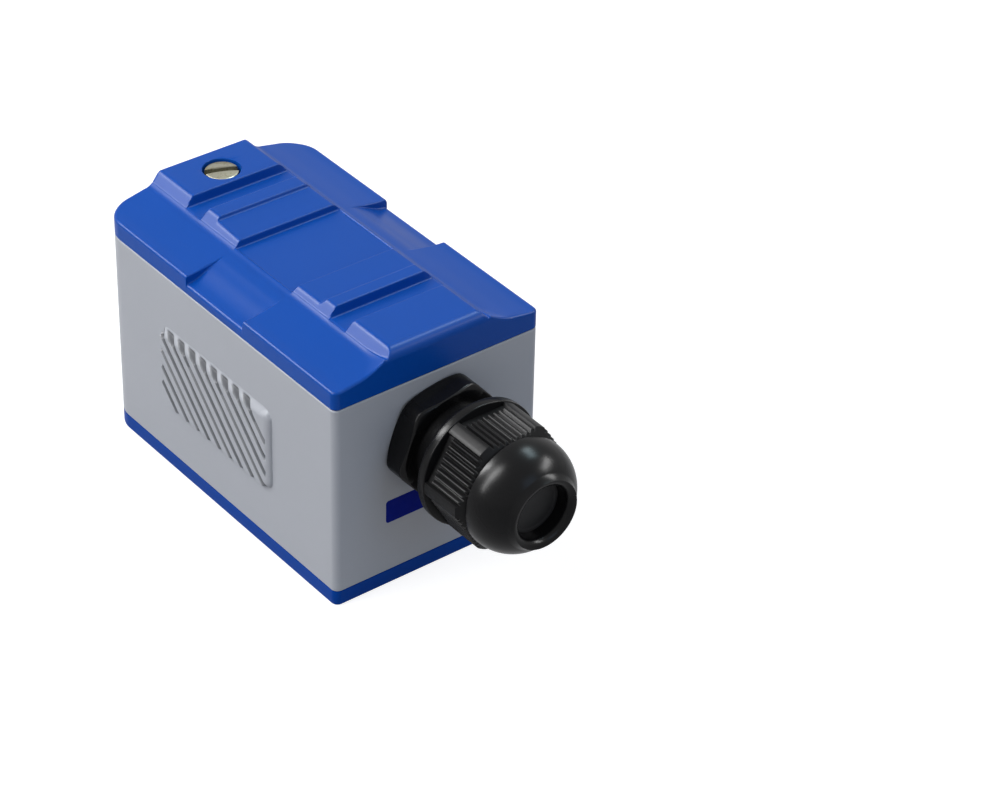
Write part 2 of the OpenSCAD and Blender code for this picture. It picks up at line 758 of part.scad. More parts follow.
// Slotted cheese-head screw with a slightly domed top
module cover_screw() {
    r = head_d / 2;
    crown = 0.5;
    ball = (r * r + crown * crown) / (2 * crown);
    color([0.72, 0.70, 0.64]) translate([screw_x, 0, head_z]) difference() {
        union() {
            intersection() {
                cylinder(r = r, h = head_h);
                translate([0, 0, head_h - ball]) sphere(r = ball, $fn = 96);
            }
            translate([0, 0, -screw_l]) cylinder(r = screw_r, h = screw_l + eps);
        }
        rotate(slot_angle) translate([-head_d, -slot_w / 2, head_h - 1.3]) cube([2 * head_d, slot_w, 2]);
    }
}

// Gland body: thread through the wall, hexagon flange, neck thread and a ring of clamping fingers
module gland_body() {
    color([0.11, 0.11, 0.12]) difference() {
        union() {
            on_gland(flange_x) rotate(hex_turn) hexagon(hex_af, hex_t, 0.7);
            on_gland(flange_x - entry_thread_l) rotate_extrude() polygon([[0, 0], [entry_r - 0.6, 0],
                [entry_r, 0.6], [entry_r, entry_thread_l + 1], [0, entry_thread_l + 1]]);
            on_gland(neck_x - 1) rotate_extrude() polygon([[0, 0], [neck_r, 0],
                [neck_r, finger_x - neck_x + 0.5], [neck_r - 0.5, finger_x - neck_x + 1],
                [finger_r + finger_wall, finger_x - neck_x + 1],
                [finger_r + finger_wall, finger_end_x - neck_x + 0.2],
                [finger_r + 0.4, finger_end_x - neck_x + 1], [0, finger_end_x - neck_x + 1]]);
        }
        on_gland(flange_x - entry_thread_l - 1) cylinder(d = gland_bore_d, h = body_l);
        on_gland(seal_x - nut_play - seat_gap) cylinder(r = finger_r, h = body_l);
        on_gland(flange_x - eps) difference() {
            cylinder(r = gasket_r + 0.1, h = gasket_t + eps);
            translate([0, 0, -1]) cylinder(r = entry_r, h = gasket_t + 3);
        }
        for (i = [0 : finger_n - 1]) on_gland(finger_x + 0.8) rotate(i * 360 / finger_n)
            translate([0, -0.45, 0]) cube([nut_d, 0.9, nut_l]);
    }
}

// Flat gasket sunk in the flange's underside
module gland_gasket() {
    color([0.08, 0.08, 0.08]) on_gland(flange_x) difference() {
        cylinder(r = gasket_r, h = gasket_t);
        translate([0, 0, -1]) cylinder(r = entry_r + fit_gap, h = gasket_t + 2);
    }
}

// Locknut on the inside of the end wall
module gland_locknut() {
    color([0.12, 0.12, 0.13]) on_gland(inner_end_x - locknut_t) difference() {
        hexagon(locknut_af, locknut_t, 0.5);
        translate([0, 0, -1]) cylinder(r = entry_r + fit_gap, h = locknut_t + 2);
    }
}

// Rubber seal in the fingers, with a flange behind the blanking disc
module gland_seal() {
    l = seal_flange_x - seal_x;
    color([0.16, 0.16, 0.17]) on_gland(seal_x) rotate_extrude() polygon([[seal_bore_d / 2, 0],
        [seal_d / 2 - 0.6, 0], [seal_d / 2, 0.8], [seal_d / 2, l], [disc_r, l],
        [disc_r, l + seal_flange_t], [seal_bore_d / 2, l + seal_flange_t]]);
}

// Thin disc that closes the gland until a cable is fitted
module blanking_disc() {
    color([0.13, 0.13, 0.14]) on_gland(disc_x) cylinder(r = disc_r, h = disc_t);
}

// Outline of the dome nut's grip: flats with fine ribs, and rounded ridges between them
function nut_outline() = [for (f = [0 : 5]) each concat(
    [for (k = [-2 : 2]) let (a = f * 60 + k * ridge_angle / 4)
        [ridge_r * cos(a), ridge_r * sin(a)]],
    [for (k = [0 : 2 * rib_n]) let (
        s = -1 + k / rib_n,
        half = nut_af / 2 * tan(30 - ridge_angle / 2) - 0.25,
        d = nut_af / 2 - (k % 2 == 0 ? rib_d : 0),
        a = f * 60 + 30)
        [d * cos(a) - s * half * sin(a), d * sin(a) + s * half * cos(a)]])];

// Half section of the dome nut's turned form: collar, core behind the flats, and dome
function nut_turned() = concat(
    [[0, nut_x], [nut_d / 2 - 0.3, nut_x], [nut_d / 2, nut_x + 0.3], [nut_d / 2, nut_x + collar_l],
        [nut_core_r, nut_x + collar_l], [nut_core_r, rib_end_x],
        [dome_d / 2, rib_end_x], [dome_d / 2, dome_x]],
    [for (a = [80 : -10 : 30]) [dome_d / 2 - dome_r + dome_r * sin(a), dome_x + dome_r * cos(a)]],
    [[mouth_d / 2 + mouth_lip, nut_end_x], [0, nut_end_x]]);

// Half section of the dome nut's inside: thread, cone over the fingers, seat of the disc, round lip
function nut_hollow() = concat(
    [[0, nut_x - 1], [nut_bore_r, nut_x - 1], [nut_bore_r, finger_end_x], [cap_r, seal_flange_x],
        [cap_r, mouth_x], [mouth_d / 2, mouth_x]],
    [for (a = [0 : 15 : 75]) [mouth_d / 2 + mouth_lip * (1 - cos(a)), nut_end_x - mouth_lip * (1 - sin(a))]],
    [[mouth_d / 2 + mouth_lip * 0.8, nut_end_x + 1], [0, nut_end_x + 1]]);

module dome_nut() {
    color([0.10, 0.10, 0.11]) difference() {
        union() {
            on_gland(0) rotate_extrude() polygon(nut_turned());
            on_gland(nut_x + collar_l / 2)
                linear_extrude(rib_end_x - nut_x - collar_l / 2) polygon(nut_outline());
        }
        on_gland(0) rotate_extrude() polygon(nut_hollow());
    }
}

housing();
base_plate();
wedge();
crystal();
backing_block();
casting_resin();
signal_lead();
return_lead();
terminal_board();
board_screws();
terminal_block();
terminal_pins();
clamp_cage_1();
clamp_cage_2();
clamp_cage_3();
clamp_screw_1();
clamp_screw_2();
clamp_screw_3();
screw_insert();
cover_gasket();
cover();
screw_seal();
cover_screw();
gland_body();
gland_gasket();
gland_locknut();
gland_seal();
blanking_disc();
dome_nut();
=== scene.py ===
# Looks of the clamp-on flow transducer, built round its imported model.
# Shapes are worked out in millimetres, as in the model's own source, and go into the meshes in metres.
import json
import math

import bmesh
import bpy
import numpy as np
from mathutils import Matrix, Vector


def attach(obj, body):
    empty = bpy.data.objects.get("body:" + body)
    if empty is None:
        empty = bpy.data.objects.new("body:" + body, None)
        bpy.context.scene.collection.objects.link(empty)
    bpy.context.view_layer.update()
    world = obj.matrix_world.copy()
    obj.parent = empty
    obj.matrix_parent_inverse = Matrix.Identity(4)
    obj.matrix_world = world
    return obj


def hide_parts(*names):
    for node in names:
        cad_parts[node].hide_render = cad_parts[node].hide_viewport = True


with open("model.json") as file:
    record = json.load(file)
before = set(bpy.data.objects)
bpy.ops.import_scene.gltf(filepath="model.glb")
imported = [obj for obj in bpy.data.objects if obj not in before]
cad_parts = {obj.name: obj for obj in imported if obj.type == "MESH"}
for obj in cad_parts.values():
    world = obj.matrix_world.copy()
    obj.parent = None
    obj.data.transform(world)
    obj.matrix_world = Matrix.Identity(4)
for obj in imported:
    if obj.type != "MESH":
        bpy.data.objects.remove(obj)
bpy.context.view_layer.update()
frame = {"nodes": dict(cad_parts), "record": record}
nodes = frame["nodes"]
mm = 0.001
print("frame loaded:", len(nodes), "nodes")


def linked(name, data):
    # a new object in the scene
    obj = bpy.data.objects.new(name, data)
    bpy.context.scene.collection.objects.link(obj)
    return obj


# camera, as measured from the photograph's edges
shot = {
    "azimuth": 51.226,      # degrees round from the side that faces -Y
    "elevation": 35.223,
    "roll": 1.516,
    "distance": 556.59,
    "lens": 121.82,
    "sensor": 36,
    "clip": (0.01, 20),     # metres
    "aimRight": 29.807,
    "aimUp": 11.322,
}


def aimCamera(shot):
    # the place is given in the camera's own directions: right, up and back
    azimuth, elevation, roll = (math.radians(shot[k]) for k in ("azimuth", "elevation", "roll"))
    right = Vector((math.cos(azimuth), math.sin(azimuth), 0))
    back = Vector((math.sin(azimuth) * math.cos(elevation), -math.cos(azimuth) * math.cos(elevation),
                   math.sin(elevation)))
    up = back.cross(right)
    turnedRight = math.cos(roll) * right + math.sin(roll) * up
    turnedUp = -math.sin(roll) * right + math.cos(roll) * up
    place = shot["aimRight"] * turnedRight + shot["aimUp"] * turnedUp + shot["distance"] * back
    lens = bpy.data.cameras.new("photoCamera")
    lens.lens = shot["lens"]
    lens.sensor_width = shot["sensor"]
    lens.clip_start, lens.clip_end = shot["clip"]
    camera = linked("photoCamera", lens)
    turn = Matrix((turnedRight, turnedUp, back)).transposed().to_4x4()
    camera.matrix_world = Matrix.Translation(place * mm) @ turn
    bpy.context.scene.camera = camera


aimCamera(shot)


# studio: white surroundings to the eye, plain soft light on the object
white = (1, 1, 1)
studio = {
    "ambient": 0.425,
    # name: direction it shines from, watts, width and height in metres, colour, seen only in reflections
    "lamps": {
        "keyLamp": ((-0.20, -0.62, 0.766), 3.4, 0.34, 0.34, white, False),
        "sideLamp": ((-0.637, -0.40, 0.65), 1.7, 0.30, 0.30, white, False),
        "backLamp": ((-0.19, 0.51, 0.83), 0.5, 0.20, 0.20, white, False),
        "endLamp": ((0.85, 0.10, 0.50), 0.55, 0.30, 0.30, (0.45, 0.68, 1), False),
        "sideGlow": ((-0.637, -0.50, 0.59), 7.0, 0.16, 0.32, white, True),
        "stripGlow": ((-0.17, -0.72, 0.67), 8.0, 0.12, 0.75, white, True),
        "noseGlow": ((-0.04, 0.51, 0.86), 3.4, 0.35, 0.16, (0.7, 0.92, 1), True),
        "rimGlow": ((0.42, 0.72, 0.55), 4.6, 0.38, 0.15, white, True),
    },
    "reach": 0.8,
    "aim": (0.01, 0, 0.025),
    "floorSize": 6.0,
    "floorLevel": -0.00005,     # a hair under the pipe face, so that the two never lie in one plane
    "floorColour": (0.36, 0.36, 0.37, 1),
    "floorGlow": 0.85,
    "floorMirrored": 0.45,
}


def feed(tree, node, values):
    # every input named takes a plain value or another node's output
    for label, value in values.items():
        if hasattr(value, "links"):
            tree.links.new(value, node.inputs[label])
        else:
            node.inputs[label].default_value = value


def newNode(tree, kind, values):
    node = tree.nodes.new("ShaderNode" + kind)
    feed(tree, node, values)
    return node


def mathNode(tree, operation, first, second):
    node = newNode(tree, "Math", {0: first, 1: second})
    node.operation = operation
    return node.outputs[0]


def seenRays(tree):
    # 1 or 0 for the rays that the eye sends out, and for those that mirrors and glass send on
    path = newNode(tree, "LightPath", {}).outputs
    indirect = mathNode(tree, "MAXIMUM", path["Is Glossy Ray"], path["Is Transmission Ray"])
    return path["Is Camera Ray"], indirect


def softLamp(name, direction, power, width, height, colour, glossOnly):
    # an area light at one reach from the aim, which it faces
    lamp = bpy.data.lights.new(name, "AREA")
    lamp.shape = "RECTANGLE"
    lamp.energy = power
    lamp.size = width
    lamp.size_y = height
    lamp.color = colour
    holder = linked(name, lamp)
    holder.visible_diffuse = not glossOnly
    direction = Vector(direction).normalized()
    holder.location = direction * studio["reach"] + Vector(studio["aim"])
    holder.rotation_euler = direction.to_track_quat("Z", "Y").to_euler()


def buildStudio():
    world = bpy.data.worlds.new("studioWorld")
    world.use_nodes = True
    bpy.context.scene.world = world
    tree = world.node_tree
    ramp = newNode(tree, "MapRange", {"Value": mathNode(tree, "MAXIMUM", *seenRays(tree)),
                                      "To Min": studio["ambient"]})
    feed(tree, tree.nodes["Background"], {"Color": (*white, 1), "Strength": ramp.outputs["Result"]})
    for name, values in studio["lamps"].items():
        softLamp(name, *values)

    mesh = bpy.data.meshes.new("floor")
    half, level = studio["floorSize"] / 2, studio["floorLevel"]
    corners = [(x * half, y * half, level) for x, y in ((-1, -1), (1, -1), (1, 1), (-1, 1))]
    mesh.from_pydata(corners, [], [(0, 1, 2, 3)])
    floor = linked("floor", mesh)
    paint = bpy.data.materials.new("paleFloor")
    paint.use_nodes = True
    tree = paint.node_tree
    direct, indirect = seenRays(tree)
    seen = mathNode(tree, "MULTIPLY", direct, studio["floorGlow"])
    mirrored = mathNode(tree, "MULTIPLY", indirect, studio["floorMirrored"])
    feed(tree, tree.nodes["Principled BSDF"], {
        "Base Color": studio["floorColour"], "Roughness": 0.9, "Specular IOR Level": 0.0,
        "Emission Color": (*white, 1), "Emission Strength": mathNode(tree, "ADD", seen, mirrored)})
    mesh.materials.append(paint)
    bpy.context.scene.view_settings.view_transform = "Standard"


buildStudio()
print("camera and studio ready")


# shader groups that several finishes share
def newGroup(name, inputs):
    # a group that puts out a colour, a roughness and a normal
    group = bpy.data.node_groups.new(name, "ShaderNodeTree")
    for label, value in inputs.items():
        kind = "NodeSocketColor" if isinstance(value, tuple) else "NodeSocketFloat"
        group.interface.new_socket(name=label, in_out="INPUT", socket_type=kind).default_value = value
    for label, kind in (("Colour", "Color"), ("Roughness", "Float"), ("Normal", "Vector")):
        group.interface.new_socket(name=label, in_out="OUTPUT", socket_type="NodeSocket" + kind)
    return group, group.nodes.new("NodeGroupInput").outputs, group.nodes.new("NodeGroupOutput")


def noiseNode(tree, where, scale, detail, roughness):
    values = {"Vector": where, "Scale": scale, "Detail": detail, "Roughness": roughness}
    return newNode(tree, "TexNoise", values).outputs["Fac"]


def bumpNode(tree, height, strength, distance):
    values = {"Height": height, "Strength": strength, "Distance": distance}
    return newNode(tree, "Bump", values).outputs["Normal"]


def mouldedSkin():
    # colour drifts slowly, gloss varies in patches, and a fine grain stands on the surface
    group, given, wanted = newGroup("mouldedSkin", {
        "Colour": (0.5, 0.5, 0.5, 1), "Drift": 0.08, "Gloss": 0.45, "GlossSpread": 0.08, "GrainScale": 3200.0,
        "GrainHeight": 0.1, "PaintedShade": 0.0})
    where = newNode(group, "TexCoord", {}).outputs["Object"]
    slow = mathNode(group, "SUBTRACT", noiseNode(group, where, scale=55, detail=3, roughness=0.5), 0.5)
    patch = mathNode(group, "SUBTRACT", noiseNode(group, where, scale=190, detail=4, roughness=0.6), 0.5)
    grain = noiseNode(group, where, given["GrainScale"], detail=3, roughness=0.55)
    gain = mathNode(group, "ADD", mathNode(group, "MULTIPLY", slow, given["Drift"]), 1.0)
    # painted shade: a mask fed in here darkens the colour where real shade would fall
    gain = mathNode(group, "SUBTRACT", gain, given["PaintedShade"])
    tint = newNode(group, "HueSaturation", {"Color": given["Colour"], "Value": gain})
    spread = mathNode(group, "MULTIPLY", patch, given["GlossSpread"])
    feed(group, wanted, {"Colour": tint.outputs["Color"],
                         "Roughness": mathNode(group, "ADD", given["Gloss"], spread),
                         "Normal": bumpNode(group, grain, given["GrainHeight"], distance=0.02 * mm)})
    return group


def turnedMetal():
    # fine brushing along one axis, with dull and tarnished patches
    group, given, wanted = newGroup("turnedMetal", {
        "Colour": (0.6, 0.6, 0.6, 1), "Tarnish": (0.3, 0.26, 0.2, 1), "TarnishAmount": 0.3, "Gloss": 0.3,
        "BrushHeight": 0.1})
    where = newNode(group, "TexCoord", {}).outputs["Object"]
    stretch = newNode(group, "Mapping", {"Vector": where, "Scale": (6, 1, 1)})
    brush = noiseNode(group, stretch.outputs["Vector"], scale=900, detail=4, roughness=0.7)
    patch = noiseNode(group, where, scale=700, detail=5, roughness=0.65)
    ramp = newNode(group, "MapRange", {"Value": patch, "From Min": 0.48, "From Max": 0.66})
    amount = mathNode(group, "MULTIPLY", ramp.outputs["Result"], given["TarnishAmount"])
    mix = newNode(group, "Mix", {})
    mix.data_type = "RGBA"
    feed(group, mix, {"Factor": amount, 6: given["Colour"], 7: given["Tarnish"]})
    dulled = mathNode(group, "MULTIPLY", amount, 0.35)
    feed(group, wanted, {"Colour": mix.outputs[2],
                         "Roughness": mathNode(group, "ADD", given["Gloss"], dulled),
                         "Normal": bumpNode(group, brush, given["BrushHeight"], distance=0.01 * mm)})
    return group


skinGroup = mouldedSkin()
metalGroup = turnedMetal()

plastics = {
    # name: colour, drift, gloss, gloss spread, grain scale, grain height, reflectance
    "bodyGrey": ((0.41, 0.43, 0.475, 1), 0.06, 0.50, 0.10, 2600, 0.35, 0.4),
    "coverBlue": ((0.001, 0.066, 0.375, 1), 0.10, 0.33, 0.06, 2600, 0.25, 0.12),
    "glandBlack": ((0.005, 0.005, 0.0055, 1), 0.20, 0.26, 0.06, 3000, 0.10, 0.12),
    "baseBlue": ((0.0008, 0.052, 0.33, 1), 0.10, 0.36, 0.06, 2600, 0.25, 0.05),
    "printNavy": ((0.0, 0.008, 0.22, 1), 0.10, 0.45, 0.08, 2600, 0.10, 0.04),
    "discBlack": ((0.010, 0.010, 0.011, 1), 0.20, 0.42, 0.12, 3000, 0.25, 0.22),
    "sealRubber": ((0.016, 0.016, 0.017, 1), 0.25, 0.75, 0.10, 1800, 0.50, 0.3),
    "boardGreen": ((0.010, 0.105, 0.040, 1), 0.10, 0.30, 0.06, 1500, 0.10, 0.5),
    "terminalGreen": ((0.018, 0.20, 0.075, 1), 0.08, 0.42, 0.08, 2200, 0.25, 0.45),
    "backingGrey": ((0.06, 0.06, 0.065, 1), 0.20, 0.60, 0.12, 1600, 0.35, 0.4),
    "resinBlack": ((0.012, 0.012, 0.013, 1), 0.25, 0.16, 0.08, 500, 0.12, 0.5),
    "leadRed": ((0.45, 0.018, 0.014, 1), 0.08, 0.42, 0.08, 2400, 0.12, 0.45),
    "leadBlack": ((0.014, 0.014, 0.014, 1), 0.15, 0.42, 0.08, 2400, 0.12, 0.4),
}
metals = {
    # name: colour, tarnish, tarnish amount, gloss, brush height
    "screwSteel": ((0.29, 0.28, 0.22, 1), (0.10, 0.08, 0.04, 1), 0.75, 0.32, 0.35),
    "platedSteel": ((0.60, 0.60, 0.61, 1), (0.40, 0.39, 0.36, 1), 0.4, 0.27, 0.25),
    "tinnedCopper": ((0.66, 0.65, 0.60, 1), (0.45, 0.43, 0.38, 1), 0.4, 0.32, 0.25),
    "machinedBrass": ((0.70, 0.50, 0.21, 1), (0.42, 0.27, 0.10, 1), 0.5, 0.26, 0.30),
    "silveredFace": ((0.72, 0.71, 0.68, 1), (0.50, 0.48, 0.42, 1), 0.4, 0.35, 0.15),
}
# some pieces carry a mask, of painted shade in the grooves or of a dull grip: its name, what it adds to, and
# how much
masked = {"bodyGrey": ("hollow", "PaintedShade", 0.62), "glandBlack": ("dull", "Gloss", 0.14)}
finish = {}


def newFinish(name, group, values, surface):
    # the group gives colour, roughness and normal, and surface holds the shader's other values
    paint = bpy.data.materials.new(name)
    paint.use_nodes = True
    tree = paint.node_tree
    skin = newNode(tree, "Group", {})
    skin.node_tree = group
    feed(tree, skin, values)
    given = {"Base Color": skin.outputs["Colour"], "Roughness": skin.outputs["Roughness"],
             "Normal": skin.outputs["Normal"]}
    feed(tree, tree.nodes["Principled BSDF"], {**given, **surface})
    # the grey's mask darkens its colour as painted shade in the pad grooves; the black's mask raises
    # roughness on the grip
    if name in masked:
        attribute, label, share = masked[name]
        mask = newNode(tree, "Attribute", {})
        mask.attribute_name = attribute
        amount = mathNode(tree, "MULTIPLY", mask.outputs["Fac"], share)
        feed(tree, skin, {label: mathNode(tree, "ADD", amount, skin.inputs[label].default_value)})
    finish[name] = paint


def addFinishes():
    for name, (*values, reflectance) in plastics.items():
        labels = ("Colour", "Drift", "Gloss", "GlossSpread", "GrainScale", "GrainHeight")
        newFinish(name, skinGroup, dict(zip(labels, values)), {"Specular IOR Level": reflectance})
    for name, values in metals.items():
        labels = ("Colour", "Tarnish", "TarnishAmount", "Gloss", "BrushHeight")
        newFinish(name, metalGroup, dict(zip(labels, values)), {"Metallic": 1.0})
    newFinish("wedgeAmber", skinGroup,
              {"Colour": (0.58, 0.30, 0.075, 1), "Gloss": 0.22, "GrainScale": 900, "GrainHeight": 0.2},
              {"Subsurface Weight": 0.25, "Subsurface Scale": 2 * mm})


addFinishes()
slotFinish = {
    "body_grey": "bodyGrey", "cover_blue": "coverBlue", "gland_black": "glandBlack",
    "disc_black": "discBlack", "seal_rubber": "sealRubber", "screw_steel": "screwSteel",
    "steel": "platedSteel", "tinned": "tinnedCopper", "brass": "machinedBrass",
    "board_green": "boardGreen", "terminal_green": "terminalGreen",
    "wedge_amber": "wedgeAmber", "crystal_silver": "silveredFace", "backing_grey": "backingGrey",
    "resin_black": "resinBlack", "lead_red": "leadRed", "lead_black": "leadBlack",
}
nodeSlot = {row["node"]: row["material_slot"] for row in frame["record"]["subparts"]}
for nodeName, node in nodes.items():
    node.material_slots[0].material = finish[slotFinish[nodeSlot[nodeName]]]
print("finishes ready:", len(finish))


# meshes
def gridMesh(name, points, wrapRows=False, wrapColumns=False, caps=False):
    # points[row, column] in millimetres; neighbours make quads, and caps close the first and last row
    rows, columns = points.shape[:2]
    index = np.arange(rows * columns).reshape(rows, columns)
    wide = np.hstack([index, index[:, :1]]) if wrapColumns else index
    tall = np.vstack([wide, wide[:1]]) if wrapRows else wide
    quads = np.stack([tall[:-1, :-1], tall[1:, :-1], tall[1:, 1:], tall[:-1, 1:]], -1).reshape(-1, 4)
    faces = quads.tolist()
    if caps:
        faces += [index[0].tolist(), index[-1][::-1].tolist()]
    return newObject(name, points.reshape(-1, 3), faces)


def newObject(name, points, faces, sharp=32):
    # points are in millimetres
    mesh = bpy.data.meshes.new(name)
    mesh.from_pydata((np.asarray(points) * mm).tolist(), [], faces)
    obj = linked(name, mesh)
    tidyMesh(obj, sharp)
    return obj


def tidyMesh(obj, sharp=32):
    # near points merge, faces turn outward, and edges sharper than the given degrees stay sharp
    shape = bmesh.new()
    shape.from_mesh(obj.data)
    bmesh.ops.remove_doubles(shape, verts=shape.verts, dist=0.0005 * mm)
    bmesh.ops.recalc_face_normals(shape, faces=shape.faces)
    shape.to_mesh(obj.data)
    shape.free()
    obj.data.shade_smooth()
    obj.data.set_sharp_from_angle(angle=math.radians(sharp))


def baked(obj):
    # the mesh with its modifiers worked in
    state = bpy.context.evaluated_depsgraph_get()
    old, mesh = obj.data, bpy.data.meshes.new_from_object(obj.evaluated_get(state))
    obj.modifiers.clear()
    obj.data = mesh
    mesh.name = obj.name
    bpy.data.meshes.remove(old)


def carve(obj, *steps):
    # steps are an operation and its tool, done in order; the tools go
    for operation, tool in steps:
        cut = obj.modifiers.new(operation, "BOOLEAN")
        cut.operation = operation
        cut.solver = "EXACT"
        cut.object = tool
        baked(obj)
        bpy.data.objects.remove(tool)
    tidyMesh(obj)
    return obj


def evenNormals(obj):
    # large flat faces keep their own direction of light beside small rounded ones
    even = obj.modifiers.new("evenNormals", "WEIGHTED_NORMAL")
    even.keep_sharp = True
    even.weight = 60


def joined(name, objs):
    # one piece from several, which go
    shape = bmesh.new()
    for obj in objs:
        shape.from_mesh(obj.data)
    mesh = bpy.data.meshes.new(name)
    shape.to_mesh(mesh)
    shape.free()
    for obj in objs:
        bpy.data.objects.remove(obj)
    result = linked(name, mesh)
    tidyMesh(result)
    return result


def pointsOf(obj):
    # where the mesh's points lie, in millimetres
    where = np.empty(len(obj.data.vertices) * 3)
    obj.data.vertices.foreach_get("co", where)
    return where.reshape(-1, 3) / mm


def addMask(obj, name, values):
    # one number for each point, which the piece's finish looks up
    mask = obj.data.attributes.new(name, "FLOAT", "POINT")
    mask.data.foreach_set("value", np.asarray(values, float))


def place(obj, body, slotName, *replaced, paint=None):
    # the piece's finish, picked by its slot's name unless a paint is given, and its body; the nodes that it
    # stands in for are hidden
    obj.data.materials.clear()
    obj.data.materials.append(paint or finish[slotFinish[slotName]])
    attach(obj, body)
    if replaced:
        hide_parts(*replaced)
    return obj


def smoothMin(a, b, k):
    # the lower of two heights, with their meeting rounded over a height of k
    h = np.clip(k - np.abs(a - b), 0, None) / k
    return np.minimum(a, b) - h * h * k / 4


def smoothMax(a, b, k):
    return -smoothMin(-a, -b, k)


def roundDrop(distance, radius):
    # how far a quarter round lies below its edge, at a distance in from the side
    inside = np.clip(radius - distance, 0, radius)
    return radius - np.sqrt(radius * radius - inside * inside)


def planOutline(halfLength, halfWidth, front, rear, steps=12):
    # rounded rectangle from above: one arc of its own radius for each corner
    arcs = []
    for sx, sy, start in ((1, -1, -90), (1, 1, 0), (-1, 1, 90), (-1, -1, 180)):
        r = front if sx > 0 else rear
        turn = np.radians(start + np.linspace(0, 90, steps + 1))
        arcs.append(np.stack([sx * (halfLength - r) + r * np.cos(turn),
                              sy * (halfWidth - r) + r * np.sin(turn)], -1))
    return np.vstack(arcs)


def slabMesh(name, halfLength, halfWidth, front, rear, levels):
    # stack of outlines: each level is a height and how far the outline is drawn in there
    rings = []
    for z, inset in levels:
        outline = planOutline(halfLength - inset, halfWidth - inset, max(front - inset, 0.02),
                              max(rear - inset, 0.02))
        rings.append(np.column_stack([outline, np.full(len(outline), z)]))
    return gridMesh(name, np.array(rings), wrapColumns=True, caps=True)


def prism(name, outline, low, high):
    # an outline seen from above, drawn up from one height to another
    rings = [np.column_stack([outline, np.full(len(outline), z)]) for z in (low, high)]
    return gridMesh(name, np.array(rings), wrapColumns=True, caps=True)


def latheMesh(name, profile, centre, axis="z", steps=64, closed=False):
    # profile is radius and place along the axis, carried round in equal steps
    profile = np.asarray(profile, float)
    turn = np.linspace(0, 2 * math.pi, steps, endpoint=False)[:, None]
    across, along = profile[None, :, 0], profile[None, :, 1]
    parts = [across * np.cos(turn), across * np.sin(turn), along + 0 * turn]
    points = np.stack(parts if axis == "z" else parts[2:] + parts[:2], -1) + np.asarray(centre, float)
    return gridMesh(name, points, wrapRows=True, wrapColumns=closed)


def cylinder(name, radius, low, high, centre, axis="z", steps=64):
    # a round bar between two places on an axis
    return latheMesh(name, [(0, low), (radius, low), (radius, high), (0, high)], centre, axis, steps)


softEdge = {"angle": 30, "segments": 2, "merge": 0.002, "flat": 0.8}


def softCopy(nodeName, name, width):
    # a CAD node's mesh, merged, with its flat faces whole again and its edges softened
    shape = bmesh.new()
    shape.from_mesh(nodes[nodeName].data)
    bmesh.ops.remove_doubles(shape, verts=shape.verts, dist=softEdge["merge"] * mm)
    bmesh.ops.dissolve_limit(shape, angle_limit=math.radians(softEdge["flat"]), verts=shape.verts,
                             edges=shape.edges)
    mesh = bpy.data.meshes.new(name)
    shape.to_mesh(mesh)
    shape.free()
    obj = linked(name, mesh)
    mesh.shade_smooth()
    mesh.set_sharp_from_angle(angle=math.radians(softEdge["angle"]))
    bevel = obj.modifiers.new("softEdges", "BEVEL")
    bevel.width = width * mm
    bevel.segments = softEdge["segments"]
    bevel.limit_method = "ANGLE"
    bevel.angle_limit = math.radians(softEdge["angle"])
    bevel.harden_normals = True
    return obj


def softenNodes(body, table):
    # the table gives each node's piece its name and the width of its soft edges
    for nodeName, (name, width) in table.items():
        place(softCopy(nodeName, name, width), body, nodeSlot[nodeName], nodeName)


# plan of the body and of its hollow, which the cover, the housing and the base plate share
bodyPlan = {
    "halfLength": 32.0, "halfWidth": 19.5, "frontRadius": 1.2, "rearRadius": 5.0,
    "innerFront": 1.0, "innerRear": 3.0, "screwX": -26.4, "glandZ": 25.7,
}
bodyOutline = [bodyPlan[k] for k in ("halfLength", "halfWidth", "frontRadius", "rearRadius")]


# cover
coverShape = {
    **bodyPlan,
    "seam": 37.25, "seamSoft": 0.12, "top": 44.0,
    "seatHalf": 7.75, "spineFoot": 10.5, "footHeight": 41.65, "spineTop": 8.4, "nose": 1.9,
    "edgeRound": 0.5, "cornerReach": 0.28, "seatRound": 0.3, "crestRound": 0.42,
    "footRound": 0.9, "noseFootRound": 3.0, "noseFootLength": 5.0,
    "skirtBottom": 35.75, "skirtHalfLength": 28.8, "skirtHalfWidth": 16.7, "skirtWall": 1.6,
    "flankRoof": 38.55, "spineRoof": 40.0, "screwHole": 1.75, "recess": 3.2, "recessRim": 0.15,
    "recessFloor": 40.65, "postRadius": 3.8, "lineRound": 0.7,
}
# heights by the distance from the middle: hollow shoulders, and the strap's seat between them
shoulderSide = [(10.2, 41.84), (11.3, 41.74), (12.8, 41.42), (14.3, 41.1), (15.8, 40.85), (17.7, 40.55),
                (19.5, 40.45)]
seatSide = [(10.2, 41.84), (11.3, 41.74), (12.7, 41.42), (13.8, 40.92), (14.9, 40.5), (16.8, 39.6),
            (18.0, 39.12), (19.5, 38.9)]
# heights along the middle, from the far end to the gland's end
spineSide = [(-32, 43.75), (-31.88, 44), (-22.25, 44), (-21.9, 42.35), (-17.85, 42.35), (-17.55, 44),
             (-14.6, 44), (-14.4, 43.4), (-7.95, 43.2), (-7.75, 42), (7.75, 42), (7.95, 43.2), (13.95, 43.2),
             (14.6, 44), (17.05, 44), (17.35, 42.35), (21.55, 42.35), (21.75, 44), (32, 44)]


